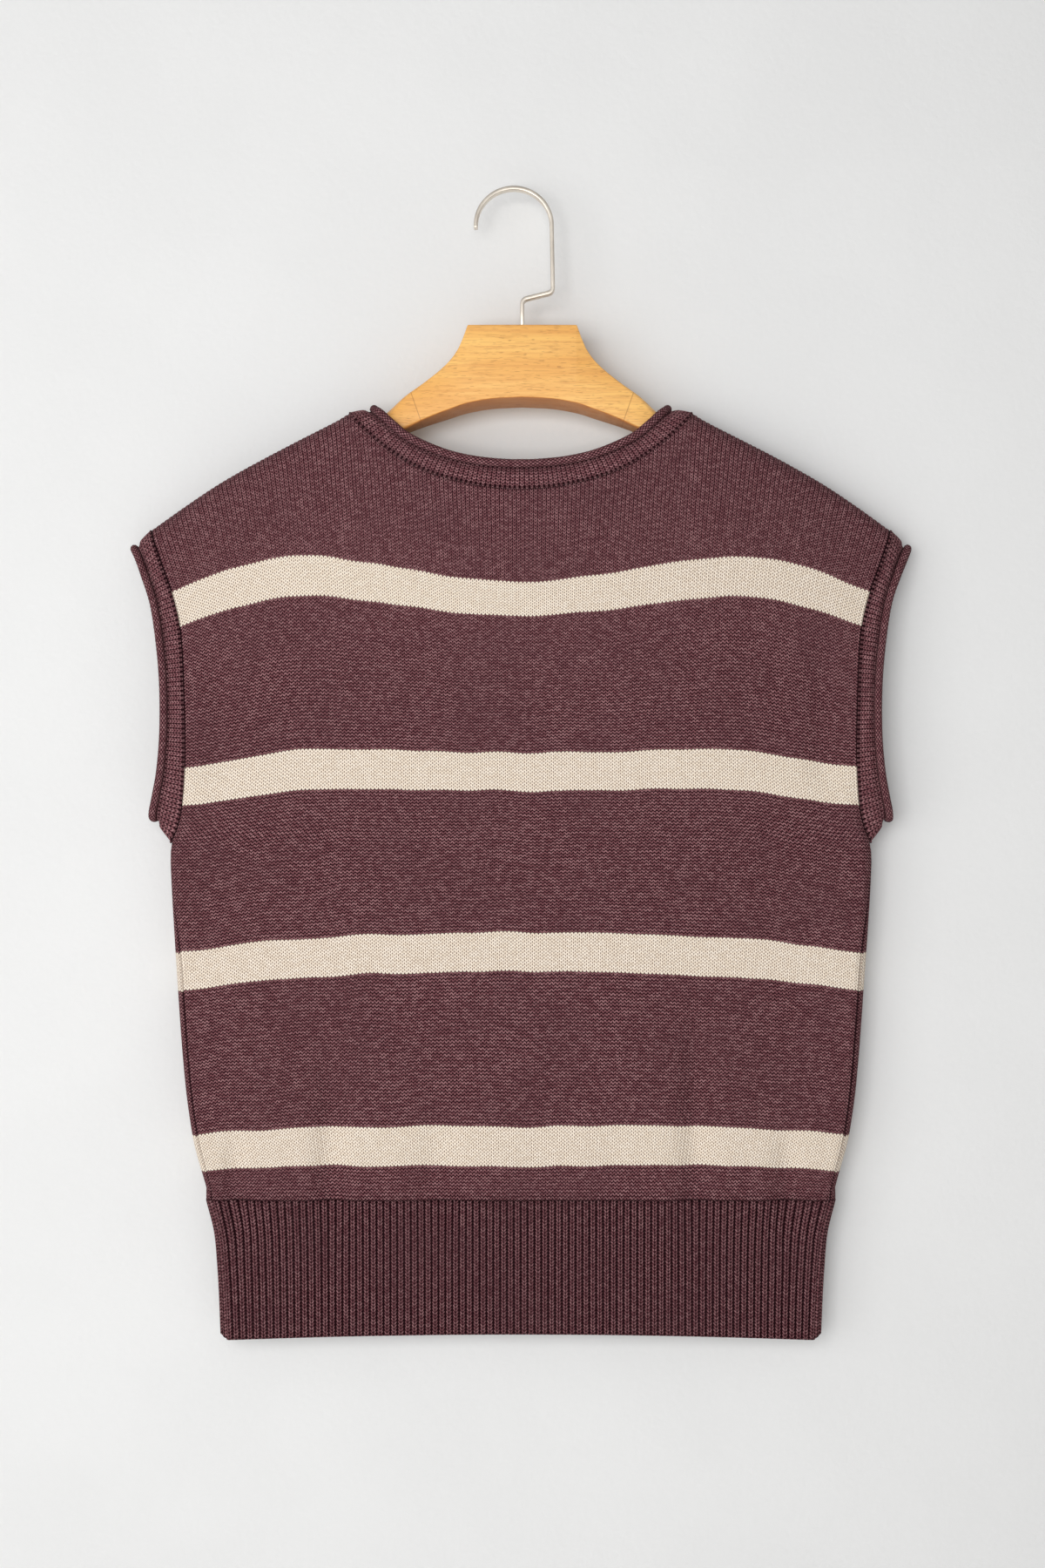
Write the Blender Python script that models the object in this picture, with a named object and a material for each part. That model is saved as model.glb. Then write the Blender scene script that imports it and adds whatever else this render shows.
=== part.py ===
"""A short-sleeve knitted sweater hanging on a wooden hanger with a flat metal hook.

Metres, +Z up. The origin is the inner top of the hook, where a rail carries the hanger.
-Y is the back of the sweater and +Y its front; seen from -Y, +X is to the right.
Every cloth piece is a closed wall: an outer face on the garment's form, and an inner face
one cloth thickness inside it. Neighbouring pieces stop short of each other at the seams.
"""

import math
from collections import namedtuple

import bmesh
import bpy
from mathutils import Vector

# ---------------------------------------------------------------- driving sizes, in metres
MIDDLE = 0.0050  # the sweater hangs this far to the right of the hook's top
CLOTH = 0.0020  # thickness of the plain knit
RIB_CLOTH = 0.0028  # thickness of the ribbed hem, over the crests
BAND_CLOTH = 0.0024  # thickness of the neck and arm bands, over the crests
SEAM = 0.0003  # gap between two pieces at a seam

HEM_JOIN = -0.7204  # height where the plain knit meets the ribbed hem
HEM_RISE = 0.0040  # the middle of the hem hangs this much higher than its corners
HEM_CORNER = 0.0045  # and its very corners are rounded off by this much
UNDERARM = -0.4640
OPENING_GROWS = 0.055  # height over which the armhole opens out above the underarm
SIDE_WRAP = 0.0106  # the front wraps this far round the side fold, to the back
UNDERARM_WRAP = 0.0035  # and only this far at the underarm
SIDE_RADIUS = 0.0100  # the round of the side folds
RIDGE_RADIUS = 0.0140  # the round of the cloth over the hanger's arms
FAR_ARMHOLE_SHIFT = 0.0030  # the front's armholes hang this far to the right

RIBS_A_SIDE = 86  # knitted ribs across the back of the hem, and as many across the front
RIB_DEPTH = 0.0012
NECK_WALES = 150
ARM_WALES = 120
WALE_DEPTH = 0.0006
NECK_ROLL = 0.0030  # radius of the edge that rolls outwards on the neck band
ARM_ROLL = 0.0028  # the same on the arm bands
ROLL_LEAN = 0.0008  # how far a rolled edge stands out from its band

LEAN = 0.070  # the hanger leans back by this much for each unit of height
CONTOUR = 0.014  # the hanger's arms curve to the front by this much at their tips
ARM_REACH = 0.200  # from the hanger's middle to the tip of an arm
HANG_FREE_FROM = -0.250  # below this height the cloth leaves the hanger's curve
HANG_FREE_AT = -0.450  # and from this height down it hangs in one plane

HANGER_MIDDLE = 0.0060
HANGER_TOP = -0.0983
HOOK_ARC = 0.0270  # radius of the hook's arc, at the middle of the strip
HOOK_STRIP = 0.0024  # thickness of the strip
HOOK_WIDTH = 0.0080  # its width, from back to front
HOOK_SOCKET = 0.0140  # how deep the strip sits in the wood

BACK, FRONT = -1, 1
QUARTER = math.pi / 2

# ---------------------------------------------------------------- the garment's outline
BodyRow = namedtuple("BodyRow", "height half_width half_depth")
BODY = (
    BodyRow(-0.8160, 0.2139, 0.0088),
    BodyRow(-0.7824, 0.2153, 0.0090),
    BodyRow(-0.7600, 0.2167, 0.0094),
    BodyRow(-0.7440, 0.2181, 0.0100),
    BodyRow(-0.7328, 0.2203, 0.0106),
    BodyRow(-0.7204, 0.2236, 0.0112),
    BodyRow(-0.6950, 0.2293, 0.0126),
    BodyRow(-0.6710, 0.2342, 0.0132),
    BodyRow(-0.6336, 0.2392, 0.0134),
    BodyRow(-0.5590, 0.2450, 0.0134),
    BodyRow(-0.4850, 0.2496, 0.0136),
    BodyRow(-0.4640, 0.2490, 0.0138),
    BodyRow(-0.4530, 0.2444, 0.0139),
    BodyRow(-0.4380, 0.2404, 0.0140),
    BodyRow(-0.4100, 0.2378, 0.0142),
    BodyRow(-0.3600, 0.2384, 0.0146),
    BodyRow(-0.3140, 0.2410, 0.0150),
    BodyRow(-0.2900, 0.2464, 0.0152),
    BodyRow(-0.2670, 0.2546, 0.0154),
    BodyRow(-0.2406, 0.2640, 0.0156),
)

RidgeRow = namedtuple("RidgeRow", "half_width height")
RIDGE = (
    RidgeRow(0.0000, -0.0960),
    RidgeRow(0.0800, -0.1372),
    RidgeRow(0.1221, -0.1594),
    RidgeRow(0.1308, -0.1646),
    RidgeRow(0.1606, -0.1795),
    RidgeRow(0.1891, -0.1940),
    RidgeRow(0.2158, -0.2087),
    RidgeRow(0.2384, -0.2231),
    RidgeRow(0.2598, -0.2378),
    RidgeRow(0.2900, -0.2592),
)

NeckRow = namedtuple("NeckRow", "half_width height")
BACK_NECK_SEAM = (
    NeckRow(0.1221, -0.1594),
    NeckRow(0.1159, -0.1672),
    NeckRow(0.1080, -0.1750),
    NeckRow(0.0992, -0.1828),
    NeckRow(0.0880, -0.1911),
    NeckRow(0.0750, -0.1991),
    NeckRow(0.0600, -0.2055),
    NeckRow(0.0440, -0.2102),
    NeckRow(0.0290, -0.2134),
    NeckRow(0.0143, -0.2152),
    NeckRow(0.0000, -0.2158),
)
BACK_NECK_ROLL = (
    NeckRow(0.1074, -0.1562),
    NeckRow(0.1030, -0.1612),
    NeckRow(0.0932, -0.1714),
    NeckRow(0.0815, -0.1810),
    NeckRow(0.0655, -0.1891),
    NeckRow(0.0490, -0.1951),
    NeckRow(0.0300, -0.1991),
    NeckRow(0.0100, -0.2010),
    NeckRow(0.0000, -0.2011),
)
FRONT_NECK_SEAM = (
    NeckRow(0.1221, -0.1594),
    NeckRow(0.1160, -0.1690),
    NeckRow(0.1110, -0.1850),
    NeckRow(0.1010, -0.2040),
    NeckRow(0.0850, -0.2215),
    NeckRow(0.0640, -0.2345),
    NeckRow(0.0400, -0.2415),
    NeckRow(0.0130, -0.2445),
    NeckRow(0.0000, -0.2448),
)
FRONT_NECK_ROLL = (
    NeckRow(0.1074, -0.1562),
    NeckRow(0.1032, -0.1640),
    NeckRow(0.0960, -0.1800),
    NeckRow(0.0870, -0.1965),
    NeckRow(0.0730, -0.2110),
    NeckRow(0.0550, -0.2225),
    NeckRow(0.0340, -0.2285),
    NeckRow(0.0110, -0.2307),
    NeckRow(0.0000, -0.2308),
)

CuffRow = namedtuple("CuffRow", "height half_width half_depth")
ARM_ROLL_LINE = (
    CuffRow(-0.4474, 0.2592, 0.0000),
    CuffRow(-0.4464, 0.2590, 0.0050),
    CuffRow(-0.4420, 0.2578, 0.0090),
    CuffRow(-0.4315, 0.2552, 0.0118),
    CuffRow(-0.4130, 0.2518, 0.0134),
    CuffRow(-0.3865, 0.2496, 0.0142),
    CuffRow(-0.3550, 0.2497, 0.0146),
    CuffRow(-0.3266, 0.2520, 0.0146),
    CuffRow(-0.2950, 0.2570, 0.0142),
    CuffRow(-0.2720, 0.2650, 0.0125),
    CuffRow(-0.2590, 0.2708, 0.0092),
    CuffRow(-0.2530, 0.2738, 0.0048),
    CuffRow(-0.2512, 0.2748, 0.0000),
)

# Soft troughs in the hanging cloth: where each runs, and how wide and deep it is.
Trough = namedtuple("Trough", "side middle low high half_width depth")
TROUGHS = (
    Trough(BACK, -0.186, -0.760, -0.660, 0.014, 0.0022),
    Trough(BACK, -0.131, -0.765, -0.600, 0.016, 0.0028),
    Trough(BACK, -0.052, -0.750, -0.640, 0.018, 0.0020),
    Trough(BACK, 0.020, -0.745, -0.665, 0.015, 0.0014),
    Trough(BACK, 0.066, -0.752, -0.630, 0.017, 0.0018),
    Trough(BACK, 0.125, -0.765, -0.560, 0.018, 0.0028),
    Trough(BACK, 0.187, -0.760, -0.665, 0.014, 0.0024),
    Trough(BACK, -0.212, -0.440, -0.320, 0.012, 0.0022),
    Trough(BACK, 0.214, -0.450, -0.300, 0.013, 0.0020),
    Trough(FRONT, -0.170, -0.760, -0.640, 0.016, 0.0026),
    Trough(FRONT, -0.098, -0.755, -0.600, 0.018, 0.0024),
    Trough(FRONT, -0.018, -0.750, -0.650, 0.017, 0.0018),
    Trough(FRONT, 0.054, -0.760, -0.615, 0.018, 0.0024),
    Trough(FRONT, 0.112, -0.750, -0.670, 0.015, 0.0020),
    Trough(FRONT, 0.180, -0.765, -0.640, 0.016, 0.0026),
    Trough(FRONT, -0.205, -0.440, -0.310, 0.013, 0.0022),
    Trough(FRONT, 0.208, -0.450, -0.320, 0.013, 0.0022),
)

# ---------------------------------------------------------------- the wooden hanger
# far_drop is how much lower the arch's underside is at the front than at the back.
HangerRow = namedtuple("HangerRow", "reach top bottom half_thick round far_drop")
HANGER = (
    HangerRow(0.0080, -0.0983, -0.1504, 0.0088, 0.0012, 0.0046),
    HangerRow(0.0200, -0.0983, -0.1512, 0.0088, 0.0012, 0.0046),
    HangerRow(0.0300, -0.0983, -0.1526, 0.0088, 0.0012, 0.0046),
    HangerRow(0.0380, -0.0983, -0.1542, 0.0088, 0.0012, 0.0046),
    HangerRow(0.0386, -0.0986, -0.1543, 0.0088, 0.0012, 0.0046),
    HangerRow(0.0440, -0.1130, -0.1560, 0.0088, 0.0013, 0.0044),
    HangerRow(0.0500, -0.1224, -0.1583, 0.0088, 0.0014, 0.0042),
    HangerRow(0.0580, -0.1304, -0.1612, 0.0088, 0.0015, 0.0038),
    HangerRow(0.0700, -0.1398, -0.1662, 0.0088, 0.0020, 0.0028),
    HangerRow(0.0830, -0.1489, -0.1728, 0.0088, 0.0035, 0.0014),
    HangerRow(0.0955, -0.1596, -0.1808, 0.0088, 0.0080, 0.0),
    HangerRow(0.1035, -0.1654, -0.1860, 0.0092, 0.0088, 0.0),
    HangerRow(0.1180, -0.1688, -0.1940, 0.0106, 0.0100, 0.0),
    HangerRow(0.1300, -0.1706, -0.1990, 0.0114, 0.0105, 0.0),
    HangerRow(0.1500, -0.1774, -0.2075, 0.0118, 0.0105, 0.0),
    HangerRow(0.1700, -0.1876, -0.2158, 0.0116, 0.0105, 0.0),
    HangerRow(0.1860, -0.1961, -0.2222, 0.0110, 0.0100, 0.0),
    HangerRow(0.1950, -0.2031, -0.2249, 0.0096, 0.0090, 0.0),
    HangerRow(0.2000, -0.2099, -0.2227, 0.0066, 0.0060, 0.0),
)

Look = namedtuple("Look", "colour roughness metallic")
PLUM_KNIT = Look((0.128, 0.053, 0.060), 0.88, 0.0)
BEECH = Look((0.94, 0.53, 0.17), 0.42, 0.0)
SATIN_METAL = Look((0.66, 0.61, 0.54), 0.30, 1.0)


# ---------------------------------------------------------------- reading the tables
def read(rows, key, column, at):
    """The column's value where key equals at, on a smooth curve through the rows."""
    rows = sorted(rows, key=lambda row: getattr(row, key))
    keys = [getattr(row, key) for row in rows]
    values = [getattr(row, column) for row in rows]
    at = min(max(at, keys[0]), keys[-1])
    i = max(k for k in range(len(keys) - 1) if keys[k] <= at)
    span = keys[i + 1] - keys[i]

    def slope(k):
        low, high = max(k - 1, 0), min(k + 1, len(keys) - 1)
        return (values[high] - values[low]) / (keys[high] - keys[low])

    t = (at - keys[i]) / span
    start = values[i] * (1 + 2 * t) * (1 - t) ** 2 + slope(i) * span * t * (1 - t) ** 2
    end = values[i + 1] * t * t * (3 - 2 * t) + slope(i + 1) * span * t * t * (t - 1)
    return start + end


def mix(a, b, share):
    return a * (1 - share) + b * share


def ease(value, low, high):
    """0 at low, 1 at high, and smooth between them."""
    t = min(max((value - low) / (high - low), 0.0), 1.0)
    return t * t * (3 - 2 * t)


def sign(value):
    return -1.0 if value < 0 else 1.0


# ---------------------------------------------------------------- the garment's form
# A place on the cloth is (across, up): distances along the cloth, which run on round the
# side folds and over the shoulder ridge, so a value past a fold is on the other side.
def openness(height):
    """0 where the side is a closed fold, 1 where the armhole is open."""
    share = min(max((height - UNDERARM) / OPENING_GROWS, 0.0), 1.0)
    return math.sqrt(1 - (1 - share) ** 2)


def ridge_height(across):
    return read(RIDGE, "half_width", "height", abs(across))


def ridge_up(across):
    """The ridge's place measured up along the cloth."""
    return ridge_height(across) + (QUARTER - 1) * RIDGE_RADIUS


def up_of(across, height):
    """The place along the cloth that lies at this height."""
    base = ridge_height(across) - RIDGE_RADIUS
    if height <= base:
        return height
    return base + RIDGE_RADIUS * math.asin(min((height - base) / RIDGE_RADIUS, 1.0))


def side_edge(height):
    """Distance across, along the cloth, to the side fold or the armhole edge."""
    fold = (QUARTER - 1) * SIDE_RADIUS * (1 - openness(height))
    return read(BODY, "height", "half_width", height) + fold


def side_wrap(height):
    """How far past the side fold the side seam lies, on the back."""
    return mix(UNDERARM_WRAP, SIDE_WRAP, ease(UNDERARM - height, 0.0, 0.090))


def middle_depth(x, height):
    """How far the garment's middle plane lies from the hook's, along Y."""
    carried = LEAN * max(height, HANG_FREE_FROM) + CONTOUR * (x / ARM_REACH) ** 2
    return carried * ease(height, HANG_FREE_AT, HANG_FREE_FROM)


def trough_depth(side, x, height):
    total = 0.0
    for trough in TROUGHS:
        off = (x - trough.middle) / trough.half_width
        if trough.side != side or abs(off) > 3:
            continue
        fade = 0.35 * (trough.high - trough.low)
        run = ease(height, trough.low, trough.low + fade)
        run *= 1 - ease(height, trough.high - fade, trough.high)
        total += trough.depth * run * math.exp(-off * off)
    return total


def outer_point(side, across, up):
    """A point of the garment's outer face."""
    base = ridge_height(across) - RIDGE_RADIUS
    height, over_ridge = up, 1.0
    if up > base:
        angle = (up - base) / RIDGE_RADIUS
        height = base + RIDGE_RADIUS * math.sin(angle)
        over_ridge = math.cos(angle)
    wide = read(BODY, "height", "half_width", height)
    opened = openness(height)
    inner = wide - SIDE_RADIUS
    x, round_side = abs(across), 1.0
    if x > inner:
        turn = (x - inner) / (side_edge(height) - inner)
        x = inner + SIDE_RADIUS * mix(math.sin(turn * QUARTER), turn, opened)
        round_side = mix(math.cos(turn * QUARTER), 1.0, opened)
    x *= sign(across)
    deep = read(BODY, "height", "half_depth", height) - trough_depth(side, x, height)
    y = middle_depth(x, height) + side * deep * over_ridge * round_side
    if side == FRONT:
        lift = ease(height, UNDERARM, UNDERARM + 0.08) * ease(base - height, 0.0, 0.05)
        x += FAR_ARMHOLE_SHIFT * lift * ease(abs(x), 0.10, 0.24)
    return Vector((x + MIDDLE, y, height))


def outward(side, across, up):
    """The outer face's normal there, pointing out of the garment."""
    step = 0.0002
    along = outer_point(side, across + step, up) - outer_point(side, across - step, up)
    rise = outer_point(side, across, up + step) - outer_point(side, across, up - step)
    return (-side * along.cross(rise)).normalized()


def cloth_point(side, across, up, inside=0.0):
    return outer_point(side, across, up) - inside * outward(side, across, up)


# ---------------------------------------------------------------- lofting walls
def zip_rows(faces, first, second, at_first=None, at_second=None):
    """Faces between two rows of vertices that may differ in number, by the shorter
    diagonals, and quads where the vertices of both rows keep level.

    at_first and at_second say where along the row each vertex lies; evenly, if not given.
    """
    at_first = at_first or [i / (len(first) - 1) for i in range(len(first))]
    at_second = at_second or [j / (len(second) - 1) for j in range(len(second))]
    i = j = 0
    while i < len(first) - 1 or j < len(second) - 1:
        reach_first = reach_second = math.inf
        if i < len(first) - 1:
            reach_first = abs(at_first[i + 1] - at_second[j])
        if j < len(second) - 1:
            reach_second = abs(at_second[j + 1] - at_first[i])
        level = abs(at_first[i] - at_second[j]) < 1e-6
        if level and abs(reach_first - reach_second) < 1e-6:
            faces.append((first[i], first[i + 1], second[j + 1], second[j]))
            i, j = i + 1, j + 1
        elif reach_first <= reach_second:
            faces.append((first[i], first[i + 1], second[j]))
            i += 1
        else:
            faces.append((first[i], second[j + 1], second[j]))
            j += 1


def add_rows(mesh, rows):
    return [[mesh.verts.new(point) for point in row] for row in rows]


def finish_solid(name, mesh, look):
    """Makes the object: faces turned outwards, one material, smooth but for sharp edges."""
    bmesh.ops.recalc_face_normals(mesh, faces=mesh.faces)
    if mesh.calc_volume(signed=True) < 0:
        bmesh.ops.reverse_faces(mesh, faces=mesh.faces)
    data = bpy.data.meshes.new(name)
    mesh.to_mesh(data)
    mesh.free()
    data.shade_smooth()
    data.set_sharp_from_angle(angle=math.radians(50))
    return link_piece(name, data, look)


def link_piece(name, data, look):
    piece = bpy.data.objects.new(name, data)
    garment.objects.link(piece)
    data.materials.append(material_of(look))
    return piece


def material_of(look):
    name = "look_{:.2f}_{:.2f}".format(look.roughness, look.metallic)
    material = bpy.data.materials.get(name) or bpy.data.materials.new(name)
    material.use_nodes = True
    shader = material.node_tree.nodes["Principled BSDF"]
    shader.inputs["Base Color"].default_value = (*look.colour, 1.0)
    shader.inputs["Roughness"].default_value = look.roughness
    shader.inputs["Metallic"].default_value = look.metallic
    return material


def panel_wall(name, outer_rows, inner_rows, look, stations=None):
    """A wall with free edges all round, from its outer and inner faces, row by row."""
    mesh = bmesh.new()
    outer, inner = add_rows(mesh, outer_rows), add_rows(mesh, inner_rows)
    stations = stations or [None] * len(outer)
    faces = []
    for k in range(len(outer) - 1):
        zip_rows(faces, outer[k], outer[k + 1], stations[k], stations[k + 1])
        zip_rows(faces, inner[k + 1], inner[k], stations[k + 1], stations[k])
    zip_rows(faces, inner[0], outer[0])
    zip_rows(faces, outer[-1], inner[-1])
    for edge in (0, -1):
        zip_rows(faces, [row[edge] for row in outer], [row[edge] for row in inner])
    for corners in faces:
        mesh.faces.new(corners)
    return finish_solid(name, mesh, look)


def hoop_wall(name, rings, look):
    """A wall that closes on itself. Each ring is (places round the hoop, points), and each
    is joined to the next and the last to the first: up the outer face, down the inner."""
    mesh = bmesh.new()
    rows = [(list(places) + [1.0], add_rows(mesh, [points])[0]) for places, points in rings]
    faces = []
    for low, high in zip(rows, rows[1:] + rows[:1]):
        zip_rows(faces, low[1] + low[1][:1], high[1] + high[1][:1], low[0], high[0])
    for corners in faces:
        mesh.faces.new(corners)
    return finish_solid(name, mesh, look)


def along_line(points, shares):
    """Points at these shares of a polyline's length."""
    lengths = [0.0]
    for a, b in zip(points, points[1:]):
        lengths.append(lengths[-1] + (b - a).length)
    found = []
    for share in shares:
        at = share * lengths[-1]
        i = max(k for k in range(len(points) - 1) if lengths[k] <= at or k == 0)
        step = lengths[i + 1] - lengths[i]
        found.append(points[i].lerp(points[i + 1], min((at - lengths[i]) / step, 1.0)))
    return found


# ---------------------------------------------------------------- front and back panels
NECK_SHARE = 0.4625  # share of the shoulder width that the neck opening takes
NECK_SPACING = (0, 0.1, 0.2, 0.3, 0.4, 0.5, 0.6, 0.7, 0.79, 0.86, 0.91, 0.955, 1)
FOLD_COLUMNS = (0.912, 0.935, 0.957, 0.979, 1.0)
BODY_COLUMNS = (0.0, 0.13, 0.27, 0.40, 0.54, 0.67, 0.79, 0.88, *FOLD_COLUMNS)
NECK_COLUMNS = tuple(NECK_SHARE * share for share in NECK_SPACING)
BORDER_COLUMNS = (*NECK_COLUMNS, 0.54, 0.62, 0.70, 0.79, 0.88, *FOLD_COLUMNS)
LOWER_ROWS = (HEM_JOIN + SEAM, -0.698, -0.665, -0.625, -0.570, -0.510)
ARMHOLE_ROWS = (UNDERARM, -0.4612, -0.4540, -0.4420, -0.4250, -0.4000, -0.3600, -0.3200)
UPPER_ROWS = (0.5,)  # shares of the way from the last of those to the border
BORDER_ROWS = (1.0, 0.75, 0.5, 0.25, 0.0)  # quarter turns down from the neck or ridge
NECK_SAMPLES = 60


def neck_line(seam):
    """Half a neckline as (across, up) places, from the middle to the shoulder ridge."""
    spot = namedtuple("Spot", "length half_width height")
    length, spots = 0.0, []
    for before, row in zip((seam[0], *seam), seam):
        length += math.dist(before, row)
        spots.append(spot(length, *row))
    places = []
    for k in range(NECK_SAMPLES + 1):
        at = length * (1 - k / NECK_SAMPLES)
        across = read(spots, "length", "half_width", at)
        height = read(spots, "length", "height", at)
        places.append(Vector((across, up_of(across, height))))
    places[-1].y = ridge_up(places[-1].x)
    return places


def armhole_tip():
    """Where the armhole edge meets the ridge, as (across, up)."""
    across = BODY[-1].half_width
    for _ in range(8):
        across = read(BODY, "height", "half_width", ridge_height(across))
    return Vector((across, ridge_up(across)))


def column_ups(head):
    """The rows' places up one column of a panel, whose top is at head."""
    border = head - QUARTER * RIDGE_RADIUS
    ups = [*LOWER_ROWS, *ARMHOLE_ROWS]
    ups += [mix(ARMHOLE_ROWS[-1], border, share) for share in UPPER_ROWS]
    return ups + [head - turn * QUARTER * RIDGE_RADIUS for turn in BORDER_ROWS]


def panel_edge(side, up):
    """Distance across to a panel's side seam or armhole seam."""
    height = min(up, outer_point(side, BODY[-1].half_width, up).z)
    return side_edge(height) + side * side_wrap(height) * (1 - openness(height))


def panel_grid(side, seam):
    """Rows of (across, up) places from the hem join upwards, with each row's columns."""
    tip = armhole_tip()
    neck = neck_line(seam)
    rim_ups = column_ups(tip.y)
    grid, stations = [], []
    for level, rim_up in enumerate(rim_ups):
        in_border = level >= len(rim_ups) - len(BORDER_ROWS)
        columns = BORDER_COLUMNS if in_border else BODY_COLUMNS
        edge = panel_edge(side, rim_up)
        half = []
        for c in columns:
            if c <= NECK_SHARE:
                head = along_line(neck, [c / NECK_SHARE])[0]
            else:
                head = Vector((c * tip.x, ridge_up(c * tip.x) - SEAM / 2))
            up = column_ups(head.y)[level]
            rise = (up - LOWER_ROWS[0]) / (head.y - LOWER_ROWS[0])
            half.append((head.x * rise + c * (edge - tip.x * rise), up))
        half[-1] = (edge - SEAM / 2, half[-1][1])
        grid.append([(-across, up) for across, up in reversed(half[1:])] + half)
        stations.append([-c for c in reversed(columns[1:])] + list(columns))
    return grid, stations


def make_panel(name, side, seam):
    grid, stations = panel_grid(side, seam)
    outer = [[cloth_point(side, *place) for place in row] for row in grid]
    inner = [[cloth_point(side, *place, CLOTH) for place in row] for row in grid]
    return panel_wall(name, outer, inner, PLUM_KNIT, stations)


# ---------------------------------------------------------------- ribbed hem
HEM_ROWS = (0.0, 0.36, 0.75, 1.0)  # shares of the way from the hem up to the join
HEM_INNER_COLUMNS = 43


def hem_place(side, share, level):
    """(across, up) on the hem: share from -1 to 1 between the side seams."""
    high = HEM_JOIN - SEAM / 2
    low = BODY[0].height + HEM_RISE * (1 - share * share)
    low += HEM_CORNER * ease(abs(share), 0.945, 1.0) ** 2
    up = mix(low, high, level)
    edge = side_edge(up) + side * SIDE_WRAP - SEAM / 2
    return share * edge, up


def make_hem(name, side):
    outer, inner = [], []
    points = 2 * RIBS_A_SIDE
    for level in HEM_ROWS:
        row = []
        for k in range(points + 1):
            place = hem_place(side, 2 * k / points - 1, level)
            groove = RIB_DEPTH if k % 2 == 0 else 0.0
            row.append(cloth_point(side, *place, groove))
        outer.append(row)
        inner.append([
            cloth_point(side, *hem_place(side, 2 * k / HEM_INNER_COLUMNS - 1, level), RIB_CLOTH)
            for k in range(HEM_INNER_COLUMNS + 1)
        ])
    return panel_wall(name, outer, inner, PLUM_KNIT)


# ---------------------------------------------------------------- neck and arm bands
Hoop = namedtuple("Hoop", "seam top seam_out")  # seam points, roll-line points, normals


def neck_side(side, seam, roll):
    """One side's half loop from the left shoulder to the right one."""
    right = [(place.x, place.y) for place in along_line(neck_line(seam), NECK_SPACING)]
    places = [(-across, up) for across, up in reversed(right)] + right[1:]
    seam_points = [outer_point(side, *place) for place in places]
    normals = [outward(side, *place) for place in places]
    shares = [(1 - at) / 2 for at in reversed(NECK_SPACING)]
    shares += [(1 + at) / 2 for at in NECK_SPACING[1:]]
    return seam_points, along_line(neck_roll_line(side, roll), shares), normals


def neck_roll_line(side, roll):
    """The line at the top of the neck band, bent over the hanger's arms."""
    half = []
    top = roll[0].height
    for row in roll:
        drop = min((top - row.height) / RIDGE_RADIUS, 1.0)
        out = math.sqrt(1 - (1 - drop) ** 2)
        deep = read(BODY, "height", "half_depth", row.height) - BAND_CLOTH / 2
        y = middle_depth(row.half_width, row.height) + side * deep * out
        half.append(Vector((row.half_width, y, row.height)))
    right = smooth_line(half)
    left = [Vector((-p.x, p.y, p.z)) for p in right]
    line = left + right[::-1][1:]
    return [p + Vector((MIDDLE, 0, 0)) for p in line]


def smooth_line(points, steps=8):
    """A smooth line through the points, as many short straight ones."""
    line = []
    for i in range(len(points) - 1):
        before, after = points[max(i - 1, 0)], points[min(i + 2, len(points) - 1)]
        a, b = points[i], points[i + 1]
        for k in range(steps):
            t = k / steps
            tangent_a, tangent_b = (b - before) / 2, (after - a) / 2
            line.append(
                a * (1 + 2 * t) * (1 - t) ** 2 + tangent_a * t * (1 - t) ** 2
                + b * t * t * (3 - 2 * t) + tangent_b * t * t * (t - 1)
            )
    return line + [points[-1]]


def neck_hoop():
    back = neck_side(BACK, BACK_NECK_SEAM, BACK_NECK_ROLL)
    front = neck_side(FRONT, FRONT_NECK_SEAM, FRONT_NECK_ROLL)
    joined = [b + f[::-1][1:-1] for b, f in zip(back, front)]
    return Hoop(*joined)


def arm_hoop(hand):
    """The armhole's loop on one side: hand is -1 at the left and 1 at the right."""
    ups = column_ups(armhole_tip().y)[len(LOWER_ROWS):]
    sides = {}
    for side in (BACK, FRONT):
        places = [(hand * panel_edge(side, up), up) for up in ups]
        seam = [outer_point(side, *place) for place in places]
        normals = [outward(side, *place) for place in places]
        lengths = [0.0]
        for a, b in zip(seam, seam[1:]):
            lengths.append(lengths[-1] + (b - a).length)
        roll = []
        for row in ARM_ROLL_LINE:
            x = hand * row.half_width
            y = middle_depth(x, row.height) + side * row.half_depth
            shift = FAR_ARMHOLE_SHIFT * min(row.half_depth / 0.012, 1.0) * (side == FRONT)
            roll.append(Vector((x + shift + MIDDLE, y, row.height)))
        top = along_line(smooth_line(roll), [at / lengths[-1] for at in lengths])
        sides[side] = (seam, top, normals)
    joined = [b + f[::-1][1:-1] for b, f in zip(sides[BACK], sides[FRONT])]
    return Hoop(*joined)


Station = namedtuple("Station", "place seam top seam_out top_out seam_up top_up")


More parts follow.
